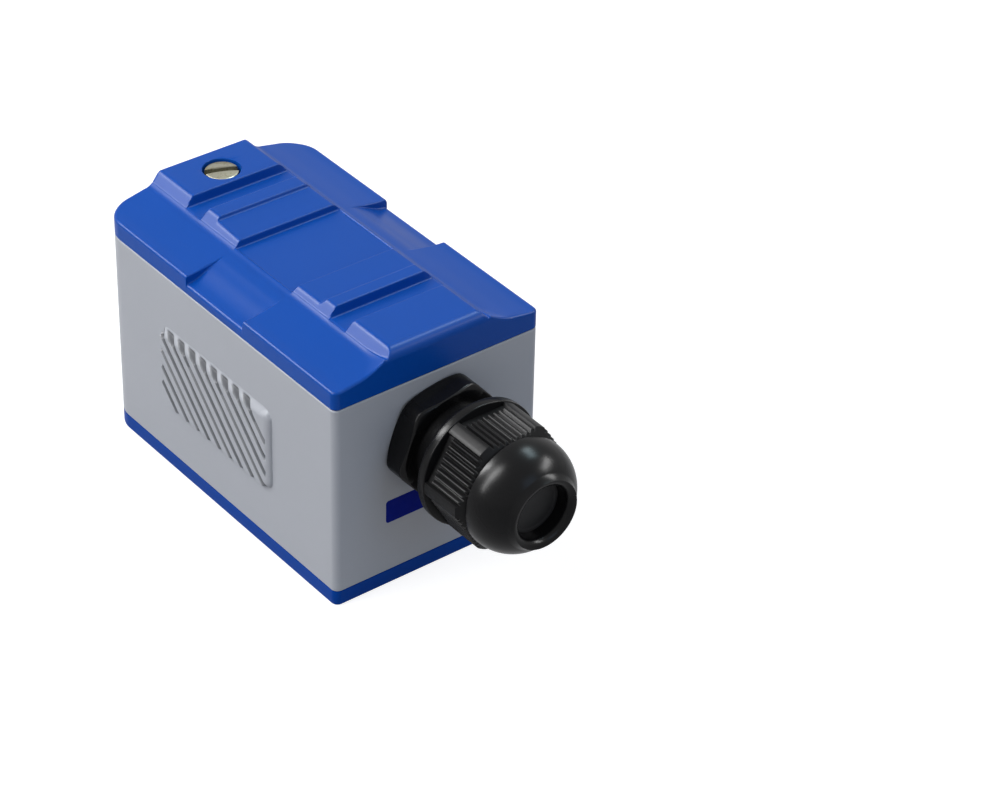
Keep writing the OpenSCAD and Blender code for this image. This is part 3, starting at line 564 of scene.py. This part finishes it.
def roundedLine(corners, reach):
    # each corner gives way to a parabola that leaves and joins the line a little way off
    corners = np.asarray(corners, float)
    along = np.linspace(0, 1, 7)[:, None]
    parts = [corners[:1]]
    for before, at, after in zip(corners[:-2], corners[1:-1], corners[2:]):
        lengthIn, lengthOut = np.linalg.norm(at - before), np.linalg.norm(after - at)
        start = at - (at - before) / lengthIn * min(reach, 0.46 * lengthIn)
        end = at + (after - at) / lengthOut * min(reach, 0.46 * lengthOut)
        parts.append((1 - along) ** 2 * start + 2 * (1 - along) * along * at + along ** 2 * end)
    parts.append(corners[-1:])
    return np.vstack(parts)


def coverHeight(x, y, lines, c):
    # shoulders or strap seat, then the spine over them, then the rounds along the outline and the nose
    away, top, length, nose, foot = np.abs(y), c["top"], c["halfLength"], c["nose"], c["spineFoot"]
    high = np.interp(away, *lines["shoulder"].T)
    low = np.minimum(np.interp(away, *lines["seat"].T), high)
    out = np.abs(x) - c["seatHalf"]
    blend = np.clip((high - low) / (2 * c["seatRound"]), -1, 1) * roundDrop(np.abs(out), c["seatRound"])
    base = np.where(out > 0, high - blend, low + blend)
    slope = (top - c["footHeight"]) / (foot - c["spineTop"])
    flank = top - (away - c["spineTop"]) * slope
    spine = smoothMin(np.interp(x, *lines["spine"].T), flank, c["crestRound"])
    base = base - 3 * np.clip(foot - 0.5 - away, 0, 3)      # sinks away under the spine
    nearNose = np.clip((x - length + c["noseFootLength"]) / c["noseFootLength"], 0, 1)
    height = smoothMax(base, spine, c["footRound"] + c["noseFootRound"] * nearNose * nearNose)
    radius = np.where(x > 0, c["frontRadius"], c["rearRadius"])
    inX, inY = length - np.abs(x), c["halfWidth"] - away
    corner = radius - np.hypot(np.clip(radius - inX, 0, None), np.clip(radius - inY, 0, None))
    inward = np.where((inX < radius) & (inY < radius), corner, np.minimum(inX, inY))
    onSpine = np.clip((foot - 0.6 - away) / 1.5, 0, 1)
    drop = roundDrop(np.clip(inward, 0, None), c["edgeRound"])
    drop = drop * np.where(x < -31, 1 - onSpine, 1)
    start = length - nose
    arc = np.sqrt(np.clip(nose ** 2 - np.clip(x - start, 0, None) ** 2, 0, None))
    return smoothMin(height - drop, np.where(x > start, top - nose + arc, top + 9), 0.15)


def coverOutside(c):
    # rings along the cover: each is a cross-section from seam to seam, closed underneath
    lines = {"spine": roundedLine(spineSide, c["cornerReach"]),
             "shoulder": roundedLine(shoulderSide, c["lineRound"]),
             "seat": roundedLine(seatSide, c["lineRound"])}
    length, nose = c["halfLength"], c["nose"]
    # along: close lines at the seat's sides, round the nose and at both ends
    near = np.array([0.0001, 0.02, 0.06, 0.12, 0.2, 0.3, 0.42, 0.55])
    front = length - nose * (1 - np.sin(np.radians(np.linspace(0, 90, 15))))
    fine = length - np.array([0, 0.008, 0.03, 0.07, 0.13, 0.21, 0.3, 0.4, 0.5, 0.7])
    rear = -length + c["rearRadius"] * (1 - np.cos(np.radians(np.linspace(0, 90, 25))))
    seat = c["seatHalf"]
    x = np.concatenate([lines["spine"][:, 0], front, fine, -fine, rear, np.arange(-32, 32.1, 1.0),
                        seat + near, seat - near, -seat + near, -seat - near])
    x = np.unique(np.round(x, 5))
    x = x[np.concatenate([[True], np.diff(x) > 0.00015])]
    # across: close lines at the edge and over the spine's flank, wider ones between and in the middle
    inset = np.array([0, 0.008, 0.03, 0.07, 0.13, 0.21, 0.31, 0.42, 0.5, 0.7])
    dense = np.arange(11.8, 7.59, -0.1)
    inside = np.concatenate([dense, [7.0, 5.0, 2.5, 0]])
    radius = np.where(x > 0, c["frontRadius"], c["rearRadius"])
    over = np.clip(np.abs(x) - (length - radius), 0, None)
    half = c["halfWidth"] - radius + np.sqrt(np.clip(radius ** 2 - over ** 2, 0, None))
    edge = half[:, None] - inset
    flank = edge[:, -1:] + (dense[0] - edge[:, -1:]) * np.linspace(0, 1, 24)[1:-1]
    y = np.hstack([edge, flank, np.broadcast_to(inside, (len(x), len(inside)))])
    y = np.hstack([-y, y[:, -2::-1]])
    station = np.broadcast_to(x[:, None], y.shape)
    z = coverHeight(station, y, lines, c)
    rows = np.stack([station, y, z], -1)
    feet = rows[:, [0, -1]]
    feet[:, :, 2] = c["seam"] - 0.6
    rings = np.concatenate([feet[:, :1], rows, feet[:, 1:]], 1)
    return gridMesh("coverShell", rings, wrapColumns=True, caps=True)


def buildCover(c):
    # the shell starts below the seam, and a slab with a soft lower edge trims it there
    shell = coverOutside(c)
    seam, soft, top, low = c["seam"], c["seamSoft"], c["top"], c["skirtBottom"]
    length, width, wall, rear = c["skirtHalfLength"], c["skirtHalfWidth"], c["skirtWall"], c["innerRear"]
    roof, spineRoof = c["flankRoof"], c["spineRoof"]
    trim = slabMesh("trim", *bodyOutline,
                    [(seam, soft), (seam + 1.6 * soft, -0.6 * soft), (top + 1, -0.6 * soft)])
    skirt = slabMesh("skirt", length, width, c["innerFront"], rear,
                     [(low, 0.25), (low + 0.25, 0), (seam + 0.5, 0)])
    wide = slabMesh("wide", length - wall, width - wall, 0.4, rear,
                    [(low - 1, 0), (roof - 0.4, 0), (roof, 0.4)])
    tall = slabMesh("tall", length - wall, c["spineTop"] - 1, 0.4, 0.4,
                    [(low - 1, 0), (spineRoof - 0.3, 0), (spineRoof, 0.3)])
    # the screw's post, flattened where it would pass the skirt
    turn = np.linspace(0, 2 * math.pi, 48, endpoint=False)
    outline = c["postRadius"] * np.column_stack([np.cos(turn), np.sin(turn)])
    outline[:, 0] = np.maximum(c["screwX"] + outline[:, 0], -length + 0.05)
    post = prism("post", outline, low, spineRoof + 0.5)
    hole, recess, rim, floor = c["screwHole"], c["recess"], c["recessRim"], c["recessFloor"]
    bore = latheMesh("bore", [(0, low - 1.75), (hole + 0.3, low - 1.75), (hole + 0.3, low), (hole, low + 0.3),
                              (hole, floor), (recess, floor), (recess, top - rim),
                              (recess + 0.3 * rim, top - 0.3 * rim), (recess + rim, top),
                              (recess + rim + 0.4, top + 0.05), (recess + 1, top + 2), (0, top + 2)],
                     (c["screwX"], 0, 0))
    carve(shell, ("INTERSECT", trim), ("UNION", skirt), ("DIFFERENCE", wide), ("DIFFERENCE", tall),
          ("UNION", post), ("DIFFERENCE", bore))
    evenNormals(shell)
    return place(shell, "cover", "cover_blue", "cover")


buildCover(coverShape)
print("cover ready")


# grip pads; the housing's wall has a shallow pocket behind each, which their grooves reach into
padShape = {
    "left": -15.3, "right": 15.3, "bottom": 12.4, "top": 27.8, "proud": 0.8, "sunk": 0.5,
    "cell": 0.15, "corner": 2.1,
    # widths of the edges: on the right, above and elsewhere; and how they pass into each other
    "gentle": 1.55, "band": 1.6, "steep": 0.45, "blendFrom": 3.2, "blendOver": 1.4, "blendCorner": 1.2,
    "grooves": 12, "pitch": 3.05, "firstX": -25.3, "width": 0.86, "slope": 0.16, "depth": 0.98,
    "deepest": 0.22, "pocket": 0.34, "pocketInset": (0.6, 0.9, 0.6, 0.5), "endSlope": 0.25,
    "topLand": 0.42, "rightLand": 0.95, "flagWidth": 0.32, "flagHeight": 1.9,
}


# housing and base plate
housingShape = {
    **bodyPlan, "bottom": 2.8, "top": 37.15, "innerHalfLength": 29.0, "innerHalfWidth": 16.9,
    "ledge": 1.0, "plugTop": 3.8, "glandHole": 7.8,
    "bossRadius": 3.3, "bossTop": 35.45, "insertRadius": 2.3, "insertBottom": 29.45,
    "tipHole": 1.75, "tipDepth": 2.5,
    "studX": (-14.5, 8.5), "studY": 13.2, "studRadius": 2.3, "studTop": 20.4, "studHole": 1.0,
    # soft edges: how far from the rim, and how far the outline is drawn in there
    "lowerEdge": ((0, 0.2), (0.03, 0.1), (0.09, 0.035), (0.2, 0)),
    "upperEdge": ((0.26, 0), (0.14, 0.03), (0.05, 0.09), (0, 0.2)),
    "plateFoot": ((0, 0.42), (0.04, 0.3), (0.12, 0.16), (0.24, 0.05), (0.42, 0)),
    "plateRim": ((0.16, 0), (0.05, 0.03), (0, 0.14)), "plugGap": 0.2,
}


def boxMesh(name, low, high):
    # a box between two opposite corners
    outline = [(low[0], low[1]), (high[0], low[1]), (high[0], high[1]), (low[0], high[1])]
    return prism(name, np.array(outline), low[2], high[2])


def buildHousing(h):
    # a stack of outlines, less its hollow, with the boss and the studs joined to the walls
    top, ledge, floor, studTop, r = h["top"], h["ledge"], h["plugTop"], h["studTop"], h["bossRadius"]
    length, width, front, rear = h["innerHalfLength"], h["innerHalfWidth"], h["innerFront"], h["innerRear"]
    levels = [(h["bottom"] + z, inset) for z, inset in h["lowerEdge"]]
    levels += [(top - z, inset) for z, inset in h["upperEdge"]]
    shell = slabMesh("housingShell", *bodyOutline, levels)
    steps = [("DIFFERENCE", slabMesh("inside", length, width, front, rear, [(0, 0), (40, 0)])),
             ("DIFFERENCE", slabMesh("ledge", length + ledge, width + ledge, front + ledge, rear + ledge,
                                     [(top - ledge, 0), (top - 0.15, 0), (top, -0.12), (40, -0.12)]))]
    p = padShape
    left, right, under, over = p["pocketInset"]
    for side in (-1, 1):
        low, high = sorted((side * (h["halfWidth"] - p["pocket"]), side * (h["halfWidth"] + 1)))
        steps.append(("DIFFERENCE", boxMesh("padPocket", (p["left"] + left, low, p["bottom"] + under),
                                            (p["right"] - right, high, p["top"] - over))))
    steps.append(("DIFFERENCE", cylinder("entry", h["glandHole"], 25, 35, (0, 0, h["glandZ"]), axis="x")))
    # the cover screw's boss, which a web joins to the end wall
    boss = latheMesh("boss", [(0, floor), (r, floor), (r, h["bossTop"] - 0.2), (r - 0.2, h["bossTop"]),
                              (0, h["bossTop"])], (h["screwX"], 0, 0))
    web = boxMesh("web", (-length - 0.5, -r, floor), (h["screwX"], r, h["bossTop"]))
    steps += [("UNION", boss), ("UNION", web)]
    # four studs for the board, with a rib to the wall and a screw hole each
    for x in h["studX"]:
        for sy in (-1, 1):
            y = sy * h["studY"]
            stud = cylinder("stud", h["studRadius"], floor, studTop, (x, y, 0), steps=32)
            low, high = sorted((y, sy * (width + 0.5)))
            rib = boxMesh("rib", (x - 1, low, floor), (x + 1, high, studTop))
            hole = cylinder("hole", h["studHole"], studTop - 5, studTop + 1, (x, y, 0), steps=24)
            steps += [("UNION", stud), ("UNION", rib), ("DIFFERENCE", hole)]
    low, r, tip, end = h["insertBottom"], h["insertRadius"], h["tipHole"], h["insertBottom"] - h["tipDepth"]
    pocket = latheMesh("pocket", [(0, end), (tip, end), (tip, low), (r, low), (r, 40), (0, 40)],
                       (h["screwX"], 0, 0), steps=48)
    steps.append(("DIFFERENCE", pocket))
    carve(shell, *steps)
    evenNormals(shell)
    return place(shell, "housing", "body_grey", "housing")


def buildBasePlate(h):
    # a stack of outlines with soft edges, and a plug that reaches up into the housing
    bottom, top, gap = h["bottom"], h["plugTop"], h["plugGap"]
    levels = [*h["plateFoot"]] + [(bottom - z, inset) for z, inset in h["plateRim"]]
    plate = slabMesh("basePlateShell", *bodyOutline, levels)
    plug = slabMesh("plug", h["innerHalfLength"] - gap, h["innerHalfWidth"] - gap, h["innerFront"],
                    h["innerRear"], [(bottom - 0.5, 0), (top - 0.15, 0), (top, 0.15)])
    carve(plate, ("UNION", plug))
    evenNormals(plate)
    return place(plate, "housing", "cover_blue", "base_plate", paint=finish["baseBlue"])


buildHousing(housingShape)
buildBasePlate(housingShape)
print("housing and base plate ready")


# grip pads on the long sides
def padHeight(x, z, p):
    # a plate with soft sides, less a run of grooves that slope down to the right, and a mask of painted shade
    # inside the grooves
    r = p["corner"]
    midX, midZ = (p["left"] + p["right"]) / 2, (p["bottom"] + p["top"]) / 2
    halfX, halfZ = (p["right"] - p["left"]) / 2, (p["top"] - p["bottom"]) / 2
    overX, overZ = np.abs(x - midX) - (halfX - r), np.abs(z - midZ) - (halfZ - r)
    inward = r - np.hypot(np.clip(overX, 0, None), np.clip(overZ, 0, None)) - np.clip(
        np.maximum(overX, overZ), None, 0)
    side, above = (np.clip((p["blendFrom"] - toEdge) / p["blendOver"], 0, 1) *
                   np.clip(ahead / p["blendCorner"] + 1, 0, 1)
                   for toEdge, ahead in ((p["right"] - x, overX - overZ), (p["top"] - z, overZ - overX)))
    width = p["steep"] + (p["gentle"] - p["steep"]) * side * side * (3 - 2 * side)
    width = width + (p["band"] - width) * above
    rise = np.clip(inward / width, 0, 1)
    soft, full = rise * (1 + 3 * rise - 2 * rise * rise) / 2, np.sqrt(1 - (1 - rise) ** 2)
    plate = p["proud"] * (soft + (full - soft) * side)
    along = x + (z - p["top"])
    slot = np.mod(along - p["firstX"] + p["pitch"] / 2, p["pitch"]) - p["pitch"] / 2
    across = slot / math.sqrt(2)
    under = p["top"] - p["topLand"] - z
    flag = np.sqrt(np.clip(1 - under / p["flagHeight"], 0, 1)) * p["flagWidth"]
    inside = p["width"] / 2 + flag - np.abs(across)
    groove = np.clip(inside / (p["slope"] + 0.9 * flag), 0, 1)
    hollow = np.clip((inside + 0.1) / 0.15, 0, 1)
    before = p["right"] - p["rightLand"] - x
    inField = np.clip(under / p["endSlope"], 0, 1) * np.clip(before / p["endSlope"], 0, 1)
    count = np.round((along - p["firstX"] - slot) / p["pitch"])
    real = (count >= 0) & (count < p["grooves"])
    cut = groove * groove * (3 - 2 * groove) * inField * real
    floor = -p["deepest"] * np.clip((inward - 0.7) / 0.4, 0, 1)
    # painted shade: the insides of the grooves are darkened in colour, standing in for their shading
    grooveShade = hollow * inField * real * np.clip(rise * 3, 0, 1)
    return np.maximum(plate - p["depth"] * cut, floor) * (inward > 0), grooveShade


def buildPad(p, side, name):
    # a fine net of triangles in front, and a flat back inside the wall
    nx = int(round((p["right"] - p["left"]) / p["cell"])) + 1
    nz = int(round((p["top"] - p["bottom"]) / p["cell"])) + 1
    x, z = np.meshgrid(np.linspace(p["left"], p["right"], nx), np.linspace(p["bottom"], p["top"], nz),
                       indexing="ij")
    height, hollow = padHeight(x, z, p)
    face = bodyPlan["halfWidth"]
    outer = np.stack([x, side * (face + height - 0.02), z], -1)
    inner = np.stack([x, np.full_like(x, side * (face - p["sunk"])), z], -1)
    count = nx * nz
    index = np.arange(count).reshape(nx, nz)
    low, right, up, far = index[:-1, :-1], index[1:, :-1], index[:-1, 1:], index[1:, 1:]
    first = np.stack([low, right, up], -1).reshape(-1, 3)
    second = np.stack([right, far, up], -1).reshape(-1, 3)
    faces = np.vstack([first, second]).tolist()
    rim = np.concatenate([index[:, 0], index[-1, 1:], index[-2::-1, -1], index[0, -2:0:-1]])
    following = np.roll(rim, -1)
    faces += np.stack([rim, following, following + count, rim + count], -1).tolist()
    faces.append((rim + count).tolist())
    points = np.vstack([outer.reshape(-1, 3), inner.reshape(-1, 3)])
    pad = newObject(name, points, faces, sharp=70)
    loose = bmesh.new()
    loose.from_mesh(pad.data)
    spare = [v for v in loose.verts if not v.link_faces]
    bmesh.ops.delete(loose, geom=spare, context="VERTS")
    loose.to_mesh(pad.data)
    loose.free()
    # the mask of painted groove shade is looked up by place, as tidying may have changed the order of the
    # points
    where = pointsOf(pad)
    column = np.clip(np.round((where[:, 0] - p["left"]) / p["cell"]).astype(int), 0, nx - 1)
    row = np.clip(np.round((where[:, 2] - p["bottom"]) / p["cell"]).astype(int), 0, nz - 1)
    outside = side * where[:, 1] > face - 0.9 * p["sunk"]
    addMask(pad, "hollow", hollow[column, row] * outside)
    return place(pad, "housing", "body_grey")


buildPad(padShape, -1, "gripPadNear")
buildPad(padShape, 1, "gripPadFar")
print("grip pads ready")


# cable gland: body, locknut, seal, disc and dome nut on one axis
glandShape = {
    "innerEnd": 22.0, "wallFace": 32.0, "flangeFace": 36.5, "neckEnd": 46.0,
    "entryRadius": 7.6, "neckRadius": 8.2, "pitch": 1.5, "threadDepth": 0.62,
    "flats": 18.6, "turn": 10.0, "cornerLimit": 10.32, "faceLimit": 9.34, "bevel": 0.7,
    "bore": 5.0, "pocket": 6.3, "pocketStart": 40.5, "gasketRadius": 9.0,
    "reliefEnd": 42.0, "waist": 7.6, "threadStep": 0.125,
    "fingers": 8, "fingerWall": 1.1, "fingerEnd": 52.5, "fingerGap": 0.9, "steps": 288,
}


def hexRadius(turn, flats, start):
    # distance to a hexagon's outline, whose corners stand at start and every 60 degrees on
    sector = np.mod(turn - math.radians(start), math.radians(60)) - math.radians(30)
    return flats / 2 / np.cos(sector)


def threadDip(turn, x, pitch):
    # how deep a thread lies at a place: flat crests, sloping sides and narrow roots along a helix
    phase = np.mod(x / pitch - turn / (2 * math.pi), 1)
    wave = 0.5 - 0.5 * np.cos(2 * math.pi * phase)
    return np.clip(wave * 1.5 - 0.3, 0, 1)


def aroundAxis(x, across, turn):
    # places on the gland's axis, distances from it and angles round it, as points
    return np.stack([np.broadcast_to(x, across.shape), across * np.cos(turn),
                     across * np.sin(turn) + bodyPlan["glandZ"]], -1)


def buildGland(g):
    # a profile carried round: a hexagon limits the flange, and threads dip along a helix
    turn = np.linspace(0, 2 * math.pi, g["steps"], endpoint=False)[:, None]
    # every station is place along the axis, radius, share of thread and share of hexagon
    stations = [(g["innerEnd"], g["bore"], 0, 0), (g["innerEnd"], g["entryRadius"] - 0.9, 0, 0)]
    wall, face, bevel, step = g["wallFace"], g["flangeFace"], g["bevel"], g["threadStep"]
    stations += [(x, g["entryRadius"], 1, 0) for x in np.arange(g["innerEnd"] + 0.6, wall - 0.4, step)]
    stations += [(wall + 1, g["entryRadius"], 0, 0), (wall + 1, g["gasketRadius"], 0, 0),
                 (wall, g["gasketRadius"], 0, 0)]
    # the hexagon's corners bend in at both faces
    flange = [(wall + bevel * k, math.sin(k * math.pi / 2)) for k in np.linspace(0, 1, 7)]
    flange += [(wall + bevel + (face - wall - 2 * bevel) * k, 1) for k in np.linspace(0, 1, 8)[1:-1]]
    flange += [(face - bevel * k, math.sin(k * math.pi / 2)) for k in np.linspace(1, 0, 9)]
    limit, corner, relief = g["faceLimit"], g["cornerLimit"], g["reliefEnd"]
    stations += [(x, limit + (corner - limit) * share, 0, 1) for x, share in flange]
    stations += [(x, g["waist"], 0, 0) for x in (face, face + 1, relief)]
    stations += [(x, g["neckRadius"], 1, 0) for x in np.arange(relief + 0.2, g["neckEnd"] - 0.4, step)]
    stations += [(g["neckEnd"], g["neckRadius"] - 0.8, 0, 0), (g["neckEnd"], g["pocket"], 0, 0),
                 (g["pocketStart"], g["pocket"], 0, 0), (g["pocketStart"], g["bore"], 0, 0)]
    x, radius, thread, hexed = (row[None, :] for row in np.array(stations).T)
    hexagon = smoothMin(hexRadius(turn, g["flats"], g["turn"]) + 0 * x, radius, 0.5)
    threaded = radius - g["threadDepth"] * threadDip(turn, x, g["pitch"]) * thread
    across = np.where(hexed > 0, hexagon, threaded)
    shell = gridMesh("glandShell", aroundAxis(x, across, turn), wrapRows=True, wrapColumns=True)

    bars = []
    half = math.degrees(g["fingerGap"] / 2 / (g["pocket"] + g["fingerWall"] / 2))
    start, end, inner = g["neckEnd"] - 0.3, g["fingerEnd"], g["pocket"]
    outer = inner + g["fingerWall"]
    along = np.array([start, start, end - 0.8, end, end])
    across = np.broadcast_to([inner, outer, outer, inner + 0.4, inner], (9, 5))
    share = 360 / g["fingers"]
    for k in range(g["fingers"]):
        turns = np.radians(np.linspace(share * k + half, share * (k + 1) - half, 9))[:, None]
        bar = aroundAxis(along, across, turns)
        bars.append(gridMesh("finger", bar, wrapColumns=True, caps=True))
    body = joined("glandShell.body", [shell] + bars)
    evenNormals(body)
    return place(body, "housing", "gland_black", "gland_body")


buildGland(glandShape)

nutShape = {
    "start": 41.0, "end": 58.8, "collar": 10.8, "collarLength": 1.7, "collarSoft": 0.18,
    "collarRound": 0.4, "flats": 19.4, "ridge": 10.65, "ridgeHalf": 6.5, "ridgeSoft": 0.3,
    "ribs": 8, "ribDepth": 0.58, "sunkLength": 1.2, "sunkDepth": 0.5,
    "coneStart": 50.3, "coneEnd": 51.15, "coneRadius": 9.25, "shoulderEnd": 51.5,
    "dome": 9.5, "domeRound": 7.3, "domeX": 51.9,
    "mouth": 4.6, "lip": 1.35, "mouthDepth": 1.7,
    "bore": 8.25, "fingerEnd": 52.5, "cap": 6.9, "capStart": 54.0, "perFlat": 124,
}


def buildDomeNut(n):
    # the grip is a ribbed hexagon whose end a steep cone cuts off, down to the neck of the dome
    turn = np.linspace(0, 2 * math.pi, 6 * n["perFlat"], endpoint=False)[:, None]
    sector, reach = np.mod(turn, math.radians(60)) - math.radians(30), n["flats"] / 2
    flat, across = reach / np.cos(sector), reach * np.tan(sector)
    half = reach * math.tan(math.radians(30 - n["ridgeHalf"])) - 0.12
    ribPitch = 2 * half / n["ribs"]
    wave = 0.5 + 0.5 * np.cos(2 * math.pi * (across + half) / ribPitch)
    field = np.clip((half + ribPitch / 4 - np.abs(across)) / 0.15, 0, 1)
    groove = wave ** 1.4 * field
    plain = smoothMin(flat, np.full_like(flat, n["ridge"]), n["ridgeSoft"])

    start, end = n["start"], n["end"]
    soft, collarEnd = n["collarSoft"], n["start"] + n["collarLength"]
    stations = []

    def station(x, radius, grip=0.0, sunk=0.0, grooves=0.0):
        # place and round radius, or the share of the grip, of its sunk band and of its grooves
        stations.append((x, radius, grip, sunk, grooves))

    def arc(x, radius, reach, rise, degrees):
        # part of an ellipse round a place: 90 degrees lie outward, and 0 degrees toward the mouth
        for bend in np.radians(degrees):
            station(x + reach * math.cos(bend), radius + rise * math.sin(bend))

    edge, lip = n["collarRound"], n["lip"]
    arc(start + edge, n["collar"] - edge, edge, edge, np.linspace(180, 90, 6))
    arc(collarEnd - soft, n["collar"] - soft, soft, soft, np.linspace(90, 0, 5))
    sunkEnd = collarEnd + n["sunkLength"]
    coneStart, coneEnd, coneRadius = n["coneStart"], n["coneEnd"], n["coneRadius"]
    for x in (collarEnd + 0.02, sunkEnd - 0.08):
        station(x, 0, 1, 1)
    for x in [*np.linspace(sunkEnd + 0.08, coneStart, 7), *np.linspace(coneStart, coneEnd, 22)[1:]]:
        station(x, 0, 1, 0, 1)
    arc(n["shoulderEnd"], coneRadius, n["shoulderEnd"] - coneEnd, n["dome"] - coneRadius,
        np.linspace(180, 90, 6)[1:])
    arc(n["domeX"], n["dome"] - n["domeRound"], n["domeRound"], n["domeRound"], np.linspace(90, 36, 26))
    arc(end - lip, n["mouth"] + lip, lip, lip, np.linspace(0, -90, 9))
    mouthEnd, cap, bore, fingerEnd = end - lip - n["mouthDepth"], n["cap"], n["bore"], n["fingerEnd"]
    inner = [(mouthEnd, n["mouth"]), (mouthEnd, cap), (n["capStart"], cap), (fingerEnd, bore)]
    inner += [(x, bore) for x in np.linspace(fingerEnd - 0.5, start + 0.9, 5)]
    for x, radius in inner + [(start + 0.5, bore), (start, bore + 0.5)]:
        station(x, radius)
    x, radius, grip, sunk, grooves = (row[None, :] for row in np.array(stations).T)
    gripped = plain - n["sunkDepth"] * field * sunk - n["ribDepth"] * groove * grooves
    cone = n["ridge"] + (coneRadius - n["ridge"]) * ((x - coneStart) / (coneEnd - coneStart))
    gripped = smoothMin(gripped, cone + 0 * gripped, 0.12)
    out = np.where(grip > 0, gripped, radius)
    nut = gridMesh("domeNut", aroundAxis(x, out, turn), wrapRows=True, wrapColumns=True)
    evenNormals(nut)
    along = pointsOf(nut)[:, 0]
    addMask(nut, "dull", (along > collarEnd) & (along < coneEnd))
    return place(nut, "dome_nut", "gland_black", "dome_nut")


buildDomeNut(nutShape)


# radius and place along the axis: a flat back, a soft rim and a front that is sunk in the middle
discProfile = [(0, 55.0), (6.3, 55.0), (6.6, 55.2), (6.6, 55.6), (6.4, 55.8), (4.3, 55.8), (4.1, 55.72),
               (3.9, 55.66), (0, 55.64)]
place(latheMesh("blankingDisc", discProfile, (0, 0, bodyPlan["glandZ"]), axis="x", steps=96),
      "gland_seal", "disc_black", "blanking_disc")
softenNodes("gland_seal", {"gland_seal": ("glandSeal", 0.15)})
softenNodes("housing", {"gland_locknut": ("glandLocknut", 0.2), "gland_gasket": ("glandGasket", 0.12)})
print("cable gland ready")


# cover screw and its seal
screwShape = {
    "x": bodyPlan["screwX"], "headRadius": 2.8, "headBottom": 41.75, "headTop": 43.95, "crown": 0.28,
    "slotWidth": 1.25, "slotDepth": 1.3, "slotAngle": 67.0, "shank": 1.5, "length": 12.0, "pitch": 0.5,
    "depth": 0.28, "slotSoft": 0.08, "slotFlare": 0.12, "flareDepth": 0.28,
}


def buildScrew(s):
    # a lathed head under a flat ball, a slot cut across it, and a shank with a helix in it
    r, top, foot, thick = s["headRadius"], s["headTop"], s["headBottom"], s["shank"]
    ball = (r * r + s["crown"] ** 2) / (2 * s["crown"])
    profile = [(0, foot), (r - 0.2, foot), (r, foot + 0.2)]
    rim = top - s["crown"]
    profile += [(r, rim - 0.12), (r - 0.04, rim - 0.02), (r - 0.13, rim + 0.04)]
    for out in np.linspace(r - 0.26, 0, 9):
        profile.append((out, top - ball + math.sqrt(ball * ball - out * out)))
    head = latheMesh("coverScrewHead", profile, (s["x"], 0, 0), steps=96)
    half, long, soft, floor = s["slotWidth"] / 2, r + 1, s["slotSoft"], top - s["slotDepth"]
    wide, flare = half + s["slotFlare"], top - s["flareDepth"]
    slot = np.array([(soft - half, floor), (half - soft, floor), (half, floor + soft), (half, flare),
                     (wide, top + 0.06), (wide, top + 1), (-wide, top + 1), (-wide, top + 0.06),
                     (-half, flare), (-half, floor + soft)])
    angle = math.radians(s["slotAngle"])
    across, z = slot.T
    rings = [np.column_stack([end * math.cos(angle) - across * math.sin(angle) + s["x"],
                              end * math.sin(angle) + across * math.cos(angle), z]) for end in (-long, long)]
    carve(head, ("DIFFERENCE", gridMesh("slotTool", np.array(rings), wrapColumns=True, caps=True)))
    turn = np.linspace(0, 2 * math.pi, 32, endpoint=False)[:, None]
    low = foot - s["length"]
    z = np.arange(low + 0.4, foot - 1.2, s["pitch"] / 8)
    radius = thick - s["depth"] * threadDip(turn, z[None, :], s["pitch"])
    core = thick - 0.02
    tip = np.array([(0, low), (thick - 0.4, low)])
    root = np.array([(core, foot - 1.1), (core, foot + 0.05), (0, foot + 0.05)])
    allRadius = np.hstack([np.broadcast_to(tip[:, 0], (32, 2)), radius, np.broadcast_to(root[:, 0], (32, 3))])
    allZ = np.concatenate([tip[:, 1], z, root[:, 1]])
    points = np.stack([allRadius * np.cos(turn) + s["x"], allRadius * np.sin(turn),
                       np.broadcast_to(allZ, allRadius.shape)], -1)
    shank = gridMesh("shank", points, wrapRows=True)
    screw = joined("coverScrew", [head, shank])
    evenNormals(screw)
    place(screw, "cover_screw", "screw_steel", "cover_screw")
    ring = latheMesh("screwSeal", [(1.56, 40.7), (2.85, 40.7), (3.0, 40.85), (3.0, 41.55), (2.85, 41.7),
                                   (1.56, 41.7)], (s["x"], 0, 0), closed=True)
    place(ring, "screw_seal", "seal_rubber", "screw_seal")


buildScrew(screwShape)
print("cover screw ready")


# plain printed bar under the gland
barShape = {"halfWidth": 9.85, "low": 12.1, "high": 16.3, "corner": 0.5, "face": 32.0, "thick": 0.03}


def buildBar(b):
    # a thin rounded rectangle that stands a hair proud of the end wall
    outline = planOutline(b["halfWidth"], (b["high"] - b["low"]) / 2, b["corner"], b["corner"], steps=8)
    y, z = outline[:, 0], outline[:, 1] + (b["high"] + b["low"]) / 2
    rings = [np.column_stack([np.full(len(y), x), y, z]) for x in (b["face"] - 0.02, b["face"] + b["thick"])]
    bar = gridMesh("printedBar", np.array(rings), wrapColumns=True, caps=True)
    return place(bar, "housing", "cover_blue", paint=finish["printNavy"])


buildBar(barShape)


# insides that show with the cover off
softenNodes("housing", {
    "cover_gasket": ("coverGasket", 0.2), "terminal_block": ("terminalBlock", 0.18),
    "terminal_board": ("terminalBoard", 0.08), "board_screws": ("boardScrews", 0.1),
    "wedge": ("wedgeBlock", 0.25), "backing_block": ("backingBlock", 0.15),
})
for pole in (1, 2, 3):
    cage, screw = f"clamp_cage_{pole}", f"clamp_screw_{pole}"
    softenNodes(cage, {cage: (f"clampCage_{pole}", 0.08)})
    softenNodes(screw, {screw: (f"clampScrew_{pole}", 0.1)})
print("insides ready")
